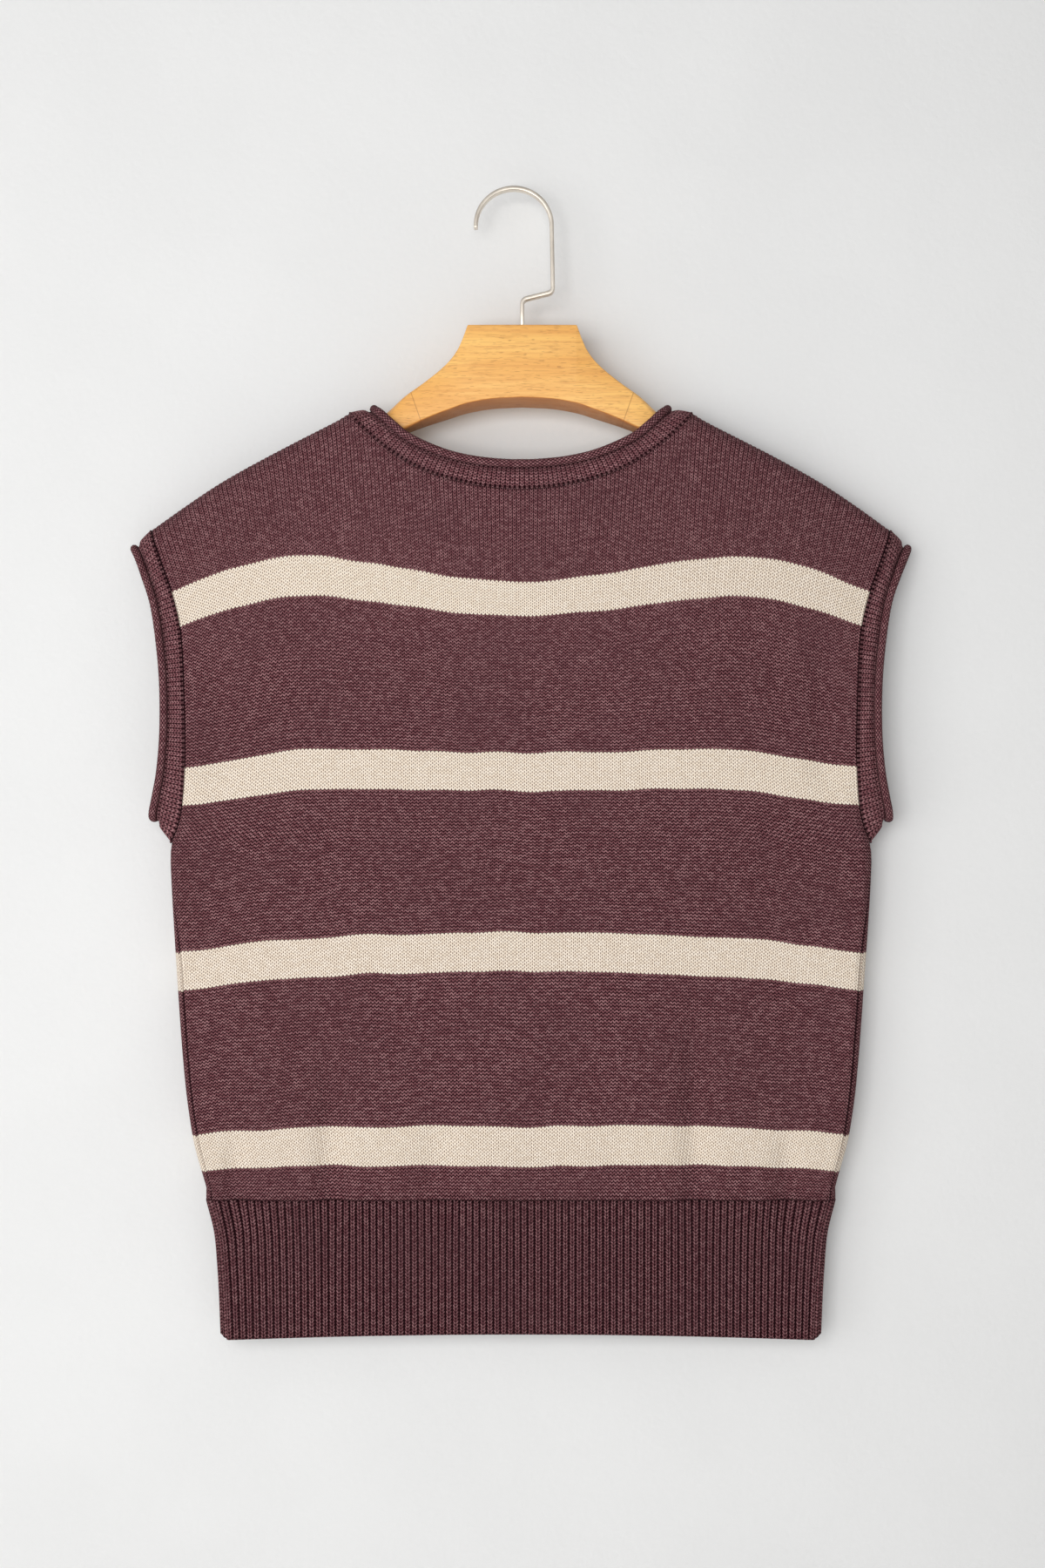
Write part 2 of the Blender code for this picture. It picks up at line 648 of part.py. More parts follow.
def around(hoop, count, multiple=1):
    """About count stations round a hoop, among them its own points. Each stretch between
    its points has a multiple of multiple. A station's out and up directions are square to
    its line: out leaves the garment, and up runs from the seam to the top."""
    total = len(hoop.seam)
    corners = []
    for k, (seam, top, seam_out) in enumerate(zip(*hoop)):
        seam_run = (hoop.seam[(k + 1) % total] - hoop.seam[k - 1]).normalized()
        top_run = (hoop.top[(k + 1) % total] - hoop.top[k - 1]).normalized()
        rise = top - seam
        seam_up = (rise - rise.dot(seam_run) * seam_run).normalized()
        seam_up = (seam_up - seam_up.dot(seam_out) * seam_out).normalized()
        top_up = (rise - rise.dot(top_run) * top_run).normalized()
        top_out = top_run.cross(top_up)
        top_out *= sign(top_out.dot(seam_out))
        corners.append((seam, top, seam_out, top_out, seam_up, top_up))
    stretches = []
    for k in range(total):
        after = (k + 1) % total
        seam_run, top_run = hoop.seam[after] - hoop.seam[k], hoop.top[after] - hoop.top[k]
        stretches.append((seam_run.length + top_run.length) / 2)
    found = []
    for k, stretch in enumerate(stretches):
        steps = max(round(count * stretch / sum(stretches) / multiple), 1) * multiple
        pairs = list(zip(corners[k], corners[(k + 1) % total]))
        for step in range(steps):
            share = step / steps
            found.append(Station((k + share) / total, *(a.lerp(b, share) for a, b in pairs)))
    return found


def make_band(name, hoop, wales, inner_columns):
    """A band in knitted wales outside and plain inside, from its seam to its top."""
    wale_stations = around(hoop, 2 * wales, 2)
    low_outer, high_outer = [], []
    for k, at in enumerate(wale_stations):
        groove = WALE_DEPTH if k % 2 else 0.0
        low_outer.append(at.seam + SEAM * at.seam_up - groove * at.seam_out)
        high_outer.append(at.top - groove * at.top_out)
    plain = around(hoop, inner_columns)
    low_inner = [at.seam + SEAM * at.seam_up - BAND_CLOTH * at.seam_out for at in plain]
    high_inner = [at.top - BAND_CLOTH * at.top_out for at in plain]
    wale_places = [at.place for at in wale_stations]
    places = [at.place for at in plain]
    rings = [(wale_places, low_outer), (wale_places, high_outer)]
    rings += [(places, high_inner), (places, low_inner)]
    return hoop_wall(name, rings, PLUM_KNIT)


def make_roll(name, hoop, radius, count):
    """The knitted edge that rolls outwards: a round tube along the top of a band."""
    data = bpy.data.curves.new(name, "CURVE")
    data.dimensions = "3D"
    data.bevel_depth = radius
    data.bevel_resolution = 1
    spline = data.splines.new("POLY")
    stations = around(hoop, count)
    spline.points.add(len(stations) - 1)
    spline.use_cyclic_u = True
    for point, at in zip(spline.points, stations):
        centre = at.top + at.top_up * (radius + SEAM)
        centre -= at.top_out * (BAND_CLOTH / 2 - ROLL_LEAN)
        point.co = (*centre, 1.0)
    return link_piece(name, data, PLUM_KNIT)


# ---------------------------------------------------------------- hanger and hook
def hanger_depth(x, height):
    return LEAN * height + CONTOUR * (x / ARM_REACH) ** 2


def hanger_section(row, hand):
    """A rounded rectangle across the hanger, at one reach from its middle."""
    x = hand * row.reach
    corner = min(row.round, row.half_thick * 0.95, (row.top - row.bottom) / 2 * 0.95)
    ring = []
    for across, rise in ((1, 1), (-1, 1), (-1, -1), (1, -1)):
        height = row.top if rise > 0 else row.bottom
        if (across, rise) == (1, -1):
            height -= row.far_drop
        centre = Vector((across * (row.half_thick - corner), height - rise * corner))
        start = {(1, 1): 0, (-1, 1): 1, (-1, -1): 2, (1, -1): 3}[(across, rise)]
        for step in range(3):
            angle = QUARTER * (start + step / 2)
            spot = centre + corner * Vector((math.cos(angle), math.sin(angle)))
            y = spot.x + hanger_depth(x, spot.y)
            ring.append(Vector((x + HANGER_MIDDLE, y, spot.y)))
    return ring


def make_hanger():
    rings = [hanger_section(row, -1) for row in reversed(HANGER)]
    rings += [hanger_section(row, 1) for row in HANGER]
    mesh = bmesh.new()
    rows = add_rows(mesh, rings)
    faces = []
    for first, second in zip(rows, rows[1:]):
        zip_rows(faces, first + first[:1], second + second[:1])
    faces += [tuple(rows[0]), tuple(rows[-1])]
    for corners in faces:
        mesh.faces.new(corners)
    return finish_solid("hanger_body", mesh, BEECH)


def hook_line():
    """The middle of the hook's strip, seen from the front, from its tip to its foot."""
    centre = Vector((0.0, -(HOOK_ARC - HOOK_STRIP / 2)))
    first, last, steps = math.radians(184), math.radians(0), 22
    line = []
    for k in range(steps + 1):
        angle = mix(first, last, k / steps)
        line.append(centre + HOOK_ARC * Vector((math.cos(angle), math.sin(angle))))
    knee = Vector((0.0278, -0.0735))
    heel = Vector((HANGER_MIDDLE, -0.0790))
    foot = Vector((HANGER_MIDDLE, HANGER_TOP - HOOK_SOCKET))
    return line + round_corner(line[-1], knee, heel) + round_corner(knee, heel, foot) + [foot]


def round_corner(before, corner, after, radius=0.0035, steps=4):
    """Points that round a corner of the strip."""
    a = corner + (before - corner).normalized() * radius
    b = corner + (after - corner).normalized() * radius
    points = []
    for k in range(steps + 1):
        t = k / steps
        points.append(a * (1 - t) ** 2 + corner * 2 * t * (1 - t) + b * t * t)
    return points


def strip_outline(line, thickness):
    """Both edges of a strip of even thickness along a line, as one closed outline."""
    left, right = [], []
    for k, point in enumerate(line):
        run = line[min(k + 1, len(line) - 1)] - line[max(k - 1, 0)]
        across = Vector((-run.y, run.x)).normalized() * thickness / 2
        left.append(point + across)
        right.append(point - across)
    return left + right[::-1]


def strip_solid(name, line, thickness, width):
    """A flat strip on edge: the outline filled and given its width along Y."""
    data = bpy.data.curves.new(name, "CURVE")
    data.dimensions = "2D"
    data.fill_mode = "BOTH"
    data.extrude = width / 2
    outline = strip_outline(line, thickness)
    spline = data.splines.new("POLY")
    spline.points.add(len(outline) - 1)
    spline.use_cyclic_u = True
    for point, spot in zip(spline.points, outline):
        point.co = (spot.x, spot.y, 0.0, 1.0)
    maker = bpy.data.objects.new(name + "_outline", data)
    bpy.context.scene.collection.objects.link(maker)
    bpy.context.view_layer.update()
    graph = bpy.context.evaluated_depsgraph_get()
    solid = bpy.data.meshes.new_from_object(maker.evaluated_get(graph))
    bpy.data.objects.remove(maker)
    mesh = bmesh.new()
    mesh.from_mesh(solid)
    bpy.data.meshes.remove(solid)
    bmesh.ops.remove_doubles(mesh, verts=mesh.verts, dist=1e-6)
    for vertex in mesh.verts:
        x, height, y = vertex.co
        vertex.co = (x, y + LEAN * height, height)
    return mesh


def make_hook():
    mesh = strip_solid("hook", hook_line(), HOOK_STRIP, HOOK_WIDTH)
    return finish_solid("hook", mesh, SATIN_METAL)


def cut_hook_socket(hanger):
    """The slot in the wood that the hook's foot stands in."""
    top = Vector((HANGER_MIDDLE, HANGER_TOP + 0.01))
    foot = Vector((HANGER_MIDDLE, HANGER_TOP - HOOK_SOCKET - SEAM))
    mesh = strip_solid(
        "hook_socket_cutter", [top, foot], HOOK_STRIP + 2 * SEAM, HOOK_WIDTH + 2 * SEAM
    )
    bmesh.ops.recalc_face_normals(mesh, faces=mesh.faces)
    data = bpy.data.meshes.new("hook_socket_cutter")
    mesh.to_mesh(data)
    mesh.free()
    cutter = bpy.data.objects.new("hook_socket_cutter", data)
    cutters.objects.link(cutter)
    cutter.hide_render = True
    cutter.display_type = "WIRE"
    cut = hanger.modifiers.new("hook_socket", "BOOLEAN")
    cut.operation = "DIFFERENCE"
    cut.object = cutter


# ---------------------------------------------------------------- the whole object
for leftover in list(bpy.data.objects):
    bpy.data.objects.remove(leftover)
garment = bpy.data.collections.new("hung_sweater")
cutters = bpy.data.collections.new("cutters")
for group in (garment, cutters):
    bpy.context.scene.collection.children.link(group)

make_panel("back_panel", BACK, BACK_NECK_SEAM)
make_panel("front_panel", FRONT, FRONT_NECK_SEAM)
make_hem("back_hem_rib", BACK)
make_hem("front_hem_rib", FRONT)
neck = neck_hoop()
make_band("neck_band", neck, NECK_WALES, 72)
make_roll("neck_rolled_edge", neck, NECK_ROLL, 76)
for hand, word in ((-1, "left"), (1, "right")):
    armhole = arm_hoop(hand)
    make_band(word + "_arm_band", armhole, ARM_WALES, 56)
    make_roll(word + "_arm_rolled_edge", armhole, ARM_ROLL, 54)
cut_hook_socket(make_hanger())
make_hook()
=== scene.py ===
"""The dressed model of a short-sleeve knitted sweater that hangs on a beech hanger.

Metres, +Z up. The hook's inner top is the origin, and -Y is the sweater's back.
"""

import math
from collections import namedtuple

import bmesh
import bpy
import numpy as np
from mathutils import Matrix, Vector, noise


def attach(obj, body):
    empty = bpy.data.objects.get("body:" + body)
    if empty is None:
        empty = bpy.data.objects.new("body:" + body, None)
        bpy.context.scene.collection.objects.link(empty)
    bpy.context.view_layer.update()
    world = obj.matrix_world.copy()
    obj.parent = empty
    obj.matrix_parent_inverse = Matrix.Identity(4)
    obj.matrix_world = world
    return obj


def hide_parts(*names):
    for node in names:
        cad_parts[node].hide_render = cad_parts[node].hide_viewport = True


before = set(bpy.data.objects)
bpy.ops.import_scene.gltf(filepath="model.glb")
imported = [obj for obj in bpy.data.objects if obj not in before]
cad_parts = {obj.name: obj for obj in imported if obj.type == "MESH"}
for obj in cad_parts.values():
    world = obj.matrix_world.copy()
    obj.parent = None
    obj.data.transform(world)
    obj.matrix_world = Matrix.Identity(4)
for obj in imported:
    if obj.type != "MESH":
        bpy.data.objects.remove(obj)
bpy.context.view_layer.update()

# ---------------------------------------------------------------- the wooden hanger
# One board of beech, sawn to a bow with a flat head and a hollow under it, its arms
# turned round and bent to the front, and the whole sanded and given a clear satin lacquer.
HANGER_MIDDLE = 0.0060
LEAN = 0.070  # the hanger leans back by this much for each unit of height
CONTOUR = 0.014  # its arms curve to the front by this much at their tips
ARM_REACH = 0.200
HEAD_STATIONS = 16  # rings across half of the head, and then out along each arm
ARM_STATIONS = 66
ARM_CROWDING = 1.25  # above 1, the rings stand closer towards the tip
CORNER_STEPS = 5
JOINT_REACH = 0.1297  # where a finger joint crosses each arm
JOINT_SLANT = -0.35


def table(kind, *rows):
    return tuple(kind(*row) for row in rows)


HangerRow = namedtuple("HangerRow", "reach top bottom half_thick round far_drop")
HANGER_HEAD = table(
    HangerRow,
    (0.0000, -0.0983, -0.1502, 0.0088, 0.0012, 0.0046),
    (0.0200, -0.0983, -0.1512, 0.0088, 0.0012, 0.0046),
    (0.0300, -0.0983, -0.1526, 0.0088, 0.0012, 0.0046),
    (0.0380, -0.0983, -0.1542, 0.0088, 0.0012, 0.0046),
)
HANGER_ARM = table(
    HangerRow,
    (0.0386, -0.0986, -0.1543, 0.0088, 0.0012, 0.0046),
    (0.0440, -0.1130, -0.1560, 0.0088, 0.0013, 0.0044),
    (0.0500, -0.1224, -0.1583, 0.0088, 0.0014, 0.0042),
    (0.0580, -0.1304, -0.1612, 0.0088, 0.0015, 0.0038),
    (0.0700, -0.1398, -0.1662, 0.0088, 0.0020, 0.0028),
    (0.0830, -0.1489, -0.1728, 0.0088, 0.0035, 0.0014),
    (0.0955, -0.1596, -0.1808, 0.0088, 0.0080, 0.0000),
    (0.1035, -0.1654, -0.1860, 0.0092, 0.0088, 0.0000),
    (0.1180, -0.1688, -0.1940, 0.0106, 0.0100, 0.0000),
    (0.1300, -0.1706, -0.1990, 0.0114, 0.0105, 0.0000),
    (0.1500, -0.1774, -0.2075, 0.0118, 0.0105, 0.0000),
    (0.1700, -0.1876, -0.2158, 0.0116, 0.0105, 0.0000),
    (0.1860, -0.1961, -0.2222, 0.0110, 0.0100, 0.0000),
    (0.1950, -0.2031, -0.2249, 0.0096, 0.0090, 0.0000),
    (0.2000, -0.2099, -0.2227, 0.0066, 0.0060, 0.0000),
)


def smooth_read(rows, column, at):
    """The column's values at these places, on a smooth curve through a table's rows."""
    rows = sorted(rows, key=lambda row: row[0])
    keys = np.array([row[0] for row in rows])
    values = np.array([getattr(row, column) for row in rows])
    before = np.maximum(np.arange(len(keys)) - 1, 0)
    after = np.minimum(np.arange(len(keys)) + 1, len(keys) - 1)
    slopes = (values[after] - values[before]) / (keys[after] - keys[before])
    at = np.clip(np.asarray(at, dtype=float), keys[0], keys[-1])
    i = np.clip(np.searchsorted(keys, at, side="right") - 1, 0, len(keys) - 2)
    span = keys[i + 1] - keys[i]
    t = (at - keys[i]) / span
    start = values[i] * (1 + 2 * t) * (1 - t) ** 2 + slopes[i] * span * t * (1 - t) ** 2
    end = values[i + 1] * t * t * (3 - 2 * t) + slopes[i + 1] * span * t * t * (t - 1)
    return start + end


def woven_grid(name, points, uvs=None, closed_rows=False, closed_columns=False, caps=False):
    """A mesh from a grid of points, row by row, with its own UV map. Where a row or a
    column comes back to its start, the two ends are merged."""
    rows, columns = points.shape[:2]
    grid = bmesh.new()
    bmesh.ops.create_grid(grid, x_segments=columns - 1, y_segments=rows - 1, size=1.0)
    data = bpy.data.meshes.new(name)
    grid.to_mesh(data)
    grid.free()
    data.vertices.foreach_set("co", points.reshape(-1).astype(np.float32))
    if uvs is not None:
        corner = np.empty(len(data.loops), dtype=np.int32)
        data.loops.foreach_get("vertex_index", corner)
        layer = data.uv_layers.new(name="knit")
        layer.data.foreach_set("uv", uvs.reshape(-1, 2)[corner].reshape(-1).astype(np.float32))
    data.update()
    shell = bmesh.new()
    shell.from_mesh(data)
    if closed_rows or closed_columns:
        bmesh.ops.remove_doubles(shell, verts=shell.verts, dist=2e-6)
    if caps:
        bmesh.ops.holes_fill(shell, edges=shell.edges, sides=0)
    bmesh.ops.recalc_face_normals(shell, faces=shell.faces)
    shell.to_mesh(data)
    shell.free()
    data.shade_smooth()
    return data


def place_piece(name, data, material):
    piece = bpy.data.objects.new(name, data)
    bpy.context.scene.collection.objects.link(piece)
    data.materials.append(material)
    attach(piece, "root")
    return piece


def hanger_depth(x, height):
    return LEAN * height + CONTOUR * (x / ARM_REACH) ** 2


def hanger_side(row, hand):
    """A rounded rectangle across the hanger, at one reach from its middle."""
    x = hand * row.reach
    corner = min(row.round, row.half_thick * 0.95, (row.top - row.bottom) / 2 * 0.95)
    ring = []
    for start, across, rise in ((0, 1, 1), (1, -1, 1), (2, -1, -1), (3, 1, -1)):
        edge = row.top if rise > 0 else row.bottom
        if (across, rise) == (1, -1):
            edge -= row.far_drop
        for step in range(CORNER_STEPS + 1):
            angle = math.pi / 2 * (start + step / CORNER_STEPS)
            y = across * (row.half_thick - corner) + corner * math.cos(angle)
            z = edge - rise * corner + corner * math.sin(angle)
            ring.append((x + HANGER_MIDDLE, y + hanger_depth(x, z), z))
    return ring + ring[:1]


def hanger_row(reach):
    rows = HANGER_HEAD if reach <= HANGER_HEAD[-1].reach else HANGER_ARM
    both = HANGER_HEAD + HANGER_ARM
    tables = dict(top=rows, bottom=both, half_thick=rows, round=rows, far_drop=both)
    return HangerRow(reach, *(float(smooth_read(tables[c], c, reach)) for c in tables))


class Nodes:
    """Short words for the node tree of one material."""

    def __init__(self, name, colour, roughness, metallic=0.0):
        self.material = bpy.data.materials.new(name)
        self.material.use_nodes = True
        self.tree = self.material.node_tree
        self.shader = self.tree.nodes["Principled BSDF"]
        self.put("Base Color", (*colour, 1))
        self.put("Roughness", roughness)
        self.put("Metallic", metallic)

    def add(self, kind, **inputs):
        node = self.tree.nodes.new("ShaderNode" + kind)
        for key, value in inputs.items():
            self.feed(node.inputs[key.replace("_", " ")], value)
        return node

    def feed(self, socket, value):
        if isinstance(value, bpy.types.NodeSocket):
            self.tree.links.new(value, socket)
        else:
            socket.default_value = value

    def put(self, key, value):
        """Gives the shader one of its inputs."""
        self.feed(self.shader.inputs[key], value)

    def math(self, operation, a, b=None, c=None, clamp=False):
        node = self.tree.nodes.new("ShaderNodeMath")
        node.operation = operation
        node.use_clamp = clamp
        for socket, value in zip(node.inputs, (a, b, c)):
            if value is not None:
                self.feed(socket, value)
        return node.outputs[0]

    def away(self, value, centre):
        """How far value is from centre."""
        return self.math("ABSOLUTE", self.math("SUBTRACT", value, centre))

    def step(self, value, low, high, to_low=0.0, to_high=1.0):
        """value taken from one range to another, held at its ends, and smooth."""
        node = self.tree.nodes.new("ShaderNodeMapRange")
        node.interpolation_type = "SMOOTHSTEP"
        for socket, given in zip(node.inputs, (value, low, high, to_low, to_high)):
            self.feed(socket, given)
        return node.outputs[0]

    def blend(self, share, a, b):
        """From colour a at 0 to colour b at 1."""
        node = self.tree.nodes.new("ShaderNodeMix")
        node.data_type = "RGBA"
        self.feed(node.inputs["Factor"], share)
        for key, colour in (("A", a), ("B", b)):
            socket = [s for s in node.inputs if s.name == key and s.type == "RGBA"][0]
            self.feed(socket, colour if isinstance(colour, bpy.types.NodeSocket) else (*colour, 1))
        return [s for s in node.outputs if s.type == "RGBA"][0]

    def grain(self, scale, stretch=(1, 1, 1), detail=3.0, turn=(0, 0, 0), where=None):
        """Noise on the piece's own coordinates, stretched along its axes."""
        if where is None:
            where = self.add("TexCoord").outputs["Object"]
        mapping = self.add("Mapping", Vector=where, Scale=stretch, Rotation=turn)
        node = self.add("TexNoise", Vector=mapping.outputs[0], Scale=scale, Detail=detail)
        return node.outputs["Fac"] if "Fac" in node.outputs else node.outputs[0]

    def relief(self, height, distance, strength=1.0):
        bump = self.add("Bump", Height=height, Distance=distance, Strength=strength)
        self.put("Normal", bump.outputs[0])


def beech_wood():
    """Honey-coloured beech: wide soft bands, fine pores and short dark flecks, all along
    the arms, a faint slanted joint in each arm, and a painted shade, darker and redder
    with warm bounced light, on the side that faces down, all under a clear lacquer."""
    wood = Nodes("lacquered_beech", (0.90, 0.48, 0.15), 0.40)
    bands = wood.grain(9.0, (0.9, 2.0, 6.0), 3.0)
    fibres = wood.grain(70.0, (0.22, 3.0, 8.0), 5.0)
    flecks = wood.step(wood.grain(1400.0, (0.13, 1.0, 1.5), 0.0), 0.66, 0.74)
    thin = wood.step(wood.grain(420.0, (0.14, 1.0, 2.2), 1.0), 0.56, 0.68)
    colour = wood.blend(wood.step(bands, 0.32, 0.70), (1.0, 0.59, 0.18), (0.90, 0.46, 0.12))
    colour = wood.blend(wood.step(fibres, 0.36, 0.72, 0.0, 0.62), colour, (0.78, 0.36, 0.10))
    colour = wood.blend(wood.math("MULTIPLY", thin, 0.22), colour, (0.50, 0.19, 0.05))
    colour = wood.blend(wood.math("MULTIPLY", flecks, 0.38), colour, (0.36, 0.13, 0.04))
    place = wood.add("SeparateXYZ", Vector=wood.add("TexCoord").outputs["Object"])
    reach = wood.away(place.outputs[0], HANGER_MIDDLE)
    slanted = wood.math("MULTIPLY_ADD", place.outputs[2], JOINT_SLANT, reach)
    joint = wood.step(wood.away(slanted, JOINT_REACH), 0.0001, 0.0006, 1.0, 0.0)
    colour = wood.blend(wood.math("MULTIPLY", joint, 0.55), colour, (0.40, 0.16, 0.05))
    # Painted shade: faces that look down are made darker and redder, as shade with warm light
    # bounced up from below.
    facing = wood.add("SeparateXYZ", Vector=wood.add("NewGeometry").outputs["Normal"])
    down = wood.step(facing.outputs[2], -0.75, -0.35, 0.70, 0.0)
    colour = wood.blend(down, colour, (0.62, 0.19, 0.055))
    wood.put("Base Color", colour)
    wood.put("Roughness", wood.step(fibres, 0.3, 0.8, 0.36, 0.52))
    wood.put("Specular IOR Level", 0.40)
    wood.relief(wood.math("SUBTRACT", wood.math("MULTIPLY", fibres, 0.4), flecks), 0.00012, 0.5)
    return wood.material


reaches = [HANGER_HEAD[-1].reach * k / HEAD_STATIONS for k in range(HEAD_STATIONS + 1)]
arm_start = HANGER_ARM[0].reach
for k in range(ARM_STATIONS):
    share = 1 - (1 - k / (ARM_STATIONS - 1)) ** ARM_CROWDING
    reaches.append(arm_start + (ARM_REACH - arm_start) * share)
rows = [hanger_row(reach) for reach in reaches]
rings = [hanger_side(row, -1) for row in reversed(rows)] + [hanger_side(row, 1) for row in rows[1:]]
hanger_mesh = woven_grid("beech_hanger", np.array(rings), closed_rows=True, caps=True)
hanger_mesh.set_sharp_from_angle(angle=math.radians(38))
hanger = place_piece("beech_hanger", hanger_mesh, beech_wood())
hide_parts("hanger_body")

# ---------------------------------------------------------------- the hook
# A flat strip of steel on edge, bent to an open arc, a straight leg and a jog, and plated
# satin nickel. Its foot stands in a bored hole in the hanger's head, in a small collar.
HOOK_ARC = 0.0270  # radius at the middle of the strip
HOOK_SWEEP = 184  # degrees of arc
ARC_STEPS = 72
HOOK_STRIP = 0.0028
HOOK_WIDTH = 0.0080
HOOK_EDGE = 0.00055  # the round of its edges
HOOK_FOOT = -0.1080
HANGER_TOP = HANGER_HEAD[0].top
COLLAR_RADIUS = 0.0026
COLLAR_RISE = 0.0007
COLLAR_TALL = 0.0040
COLLAR_EDGE = 0.0004


def bent_corner(before, corner, after, radius=0.0035, steps=9):
    a = corner + (before - corner).normalized() * radius
    b = corner + (after - corner).normalized() * radius
    shares = [k / steps for k in range(steps + 1)]
    return [a * (1 - t) ** 2 + corner * 2 * t * (1 - t) + b * t * t for t in shares]


def round_off(shape, edges, radius):
    bmesh.ops.bevel(shape, geom=edges, offset=radius, offset_type="OFFSET", segments=3,
                    profile=0.5, affect="EDGES", material=-1)


def satin_nickel():
    """Brushed along the strip, warm grey, a little duller here and there."""
    metal = Nodes("satin_nickel", (0.78, 0.72, 0.63), 0.42, 1.0)
    strokes = metal.grain(900.0, (1.0, 0.12, 1.0), 3.0)
    dull = metal.grain(70.0, (1, 1, 1), 2.0)
    colour = metal.blend(metal.step(dull, 0.3, 0.7), (0.84, 0.77, 0.67), (0.70, 0.63, 0.545))
    metal.put("Base Color", colour)
    metal.put("Roughness", metal.step(strokes, 0.25, 0.8, 0.34, 0.50))
    metal.relief(strokes, 0.00004, 0.35)
    return metal.material


arc_centre = Vector((0.0, -(HOOK_ARC - HOOK_STRIP / 2)))
spine = []
for k in range(ARC_STEPS + 1):
    angle = math.radians(HOOK_SWEEP * (1 - k / ARC_STEPS))
    spine.append(arc_centre + HOOK_ARC * Vector((math.cos(angle), math.sin(angle))))
knee, heel = Vector((0.0278, -0.0735)), Vector((HANGER_MIDDLE, -0.0790))
foot = Vector((HANGER_MIDDLE, HOOK_FOOT))
spine += bent_corner(spine[-1], knee, heel) + bent_corner(knee, heel, foot) + [foot]
strip_rows = []
for k, spot in enumerate(spine):
    run = spine[min(k + 1, len(spine) - 1)] - spine[max(k - 1, 0)]
    side = Vector((-run.y, run.x)).normalized() * HOOK_STRIP / 2
    ring = []
    for half, wide in ((1, -1), (1, 1), (-1, 1), (-1, -1), (1, -1)):
        x, z = spot.x + half * side.x, spot.y + half * side.y
        ring.append((x, wide * HOOK_WIDTH / 2 + LEAN * z, z))
    strip_rows.append(ring)
strip_mesh = woven_grid("hook_strip", np.array(strip_rows), closed_rows=True, caps=True)
strip = bmesh.new()
strip.from_mesh(strip_mesh)
sharp = [e for e in strip.edges if e.is_manifold and e.calc_face_angle() > math.radians(60)]
round_off(strip, sharp, HOOK_EDGE)
strip.to_mesh(strip_mesh)
strip.free()
strip_mesh.shade_smooth()
nickel = satin_nickel()
hook = place_piece("hook_strip", strip_mesh, nickel)
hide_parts("hook")

collar = bmesh.new()
bmesh.ops.create_cone(collar, cap_ends=True, segments=40, radius1=COLLAR_RADIUS,
                      radius2=COLLAR_RADIUS, depth=COLLAR_TALL)
round_off(collar, [e for e in collar.edges if all(v.co.z > 0 for v in e.verts)], COLLAR_EDGE)
collar_middle = HANGER_TOP + COLLAR_RISE - COLLAR_TALL / 2
bmesh.ops.translate(collar, verts=collar.verts,
                    vec=(HANGER_MIDDLE, LEAN * HANGER_TOP, collar_middle))
collar_mesh = bpy.data.meshes.new("hook_collar")
collar.to_mesh(collar_mesh)
collar.free()
collar_mesh.shade_smooth()
collar_mesh.set_sharp_from_angle(angle=math.radians(40))
place_piece("hook_collar", collar_mesh, nickel)

# ---------------------------------------------------------------- the back and the front
# Two panels of plain knit in a plum marl yarn with four cream stripes, shaped at the
# underarms and the shoulders, and linked together. The back's neckline is the higher one.
MIDDLE = 0.0050
CLOTH = 0.0020
SEAM = 0.0003
HEM_JOIN = -0.7172
UNDERARM = -0.4640
OPENING_GROWS = 0.055
SIDE_WRAP = 0.0106
UNDERARM_WRAP = 0.0035
SIDE_LAP = 0.0010  # the front's edge runs on under the back's in the side seam,
LAP_DEPTH = 0.0007  # sunk by this much
LAP_START, LAP_END = 0.0022, 0.0002  # how far from its edge the front starts to sink
SIDE_RADIUS = 0.0100
RIDGE_RADIUS = 0.0140
FAR_ARMHOLE_SHIFT = 0.0030
HANG_FREE_FROM = -0.250  # below this height the cloth leaves the hanger's curve
HANG_FREE_AT = -0.450  # and from this height down it hangs in one plane
NECK_ROWS_FROM = -0.320  # from here up the rows of a panel bend to its neckline and ridge
BODY_ROWS, CHEST_ROWS, RIDGE_ROWS = 54, 12, 9
BACK, FRONT = -1, 1
QUARTER = math.pi / 2
WALES = 176
WALE_GROOVE = 0.00042
UNEVEN = 0.0010  # how far the cloth falls in here and there between the troughs
DRAWN = 0.0036  # how far a course wanders up and down,
DRAWN_FROM = -0.690  # from this height up
PUCKER = 0.0030  # how deep the panels gather where the tighter rib draws them in
PUCKER_FADE, PUCKER_FULL, PUCKER_END = 0.006, 0.008, 0.048  # heights above the join

BodyRow = namedtuple("BodyRow", "height half_width half_depth")
BODY = table(
    BodyRow,
    (-0.8160, 0.2139, 0.0088),
    (-0.7824, 0.2153, 0.0090),
    (-0.7600, 0.2167, 0.0094),
    (-0.7440, 0.2181, 0.0100),
    (-0.7328, 0.2203, 0.0106),
    (-0.7204, 0.2236, 0.0112),
    (-0.6950, 0.2293, 0.0126),
    (-0.6710, 0.2342, 0.0132),
    (-0.6336, 0.2392, 0.0134),
    (-0.5590, 0.2450, 0.0134),
    (-0.4850, 0.2496, 0.0136),
    (-0.4640, 0.2490, 0.0138),
    (-0.4530, 0.2444, 0.0139),
    (-0.4380, 0.2404, 0.0140),
    (-0.4100, 0.2378, 0.0142),
    (-0.3600, 0.2384, 0.0146),
    (-0.3140, 0.2410, 0.0150),
    (-0.2900, 0.2464, 0.0152),
    (-0.2670, 0.2546, 0.0154),
    (-0.2406, 0.2640, 0.0156),
)

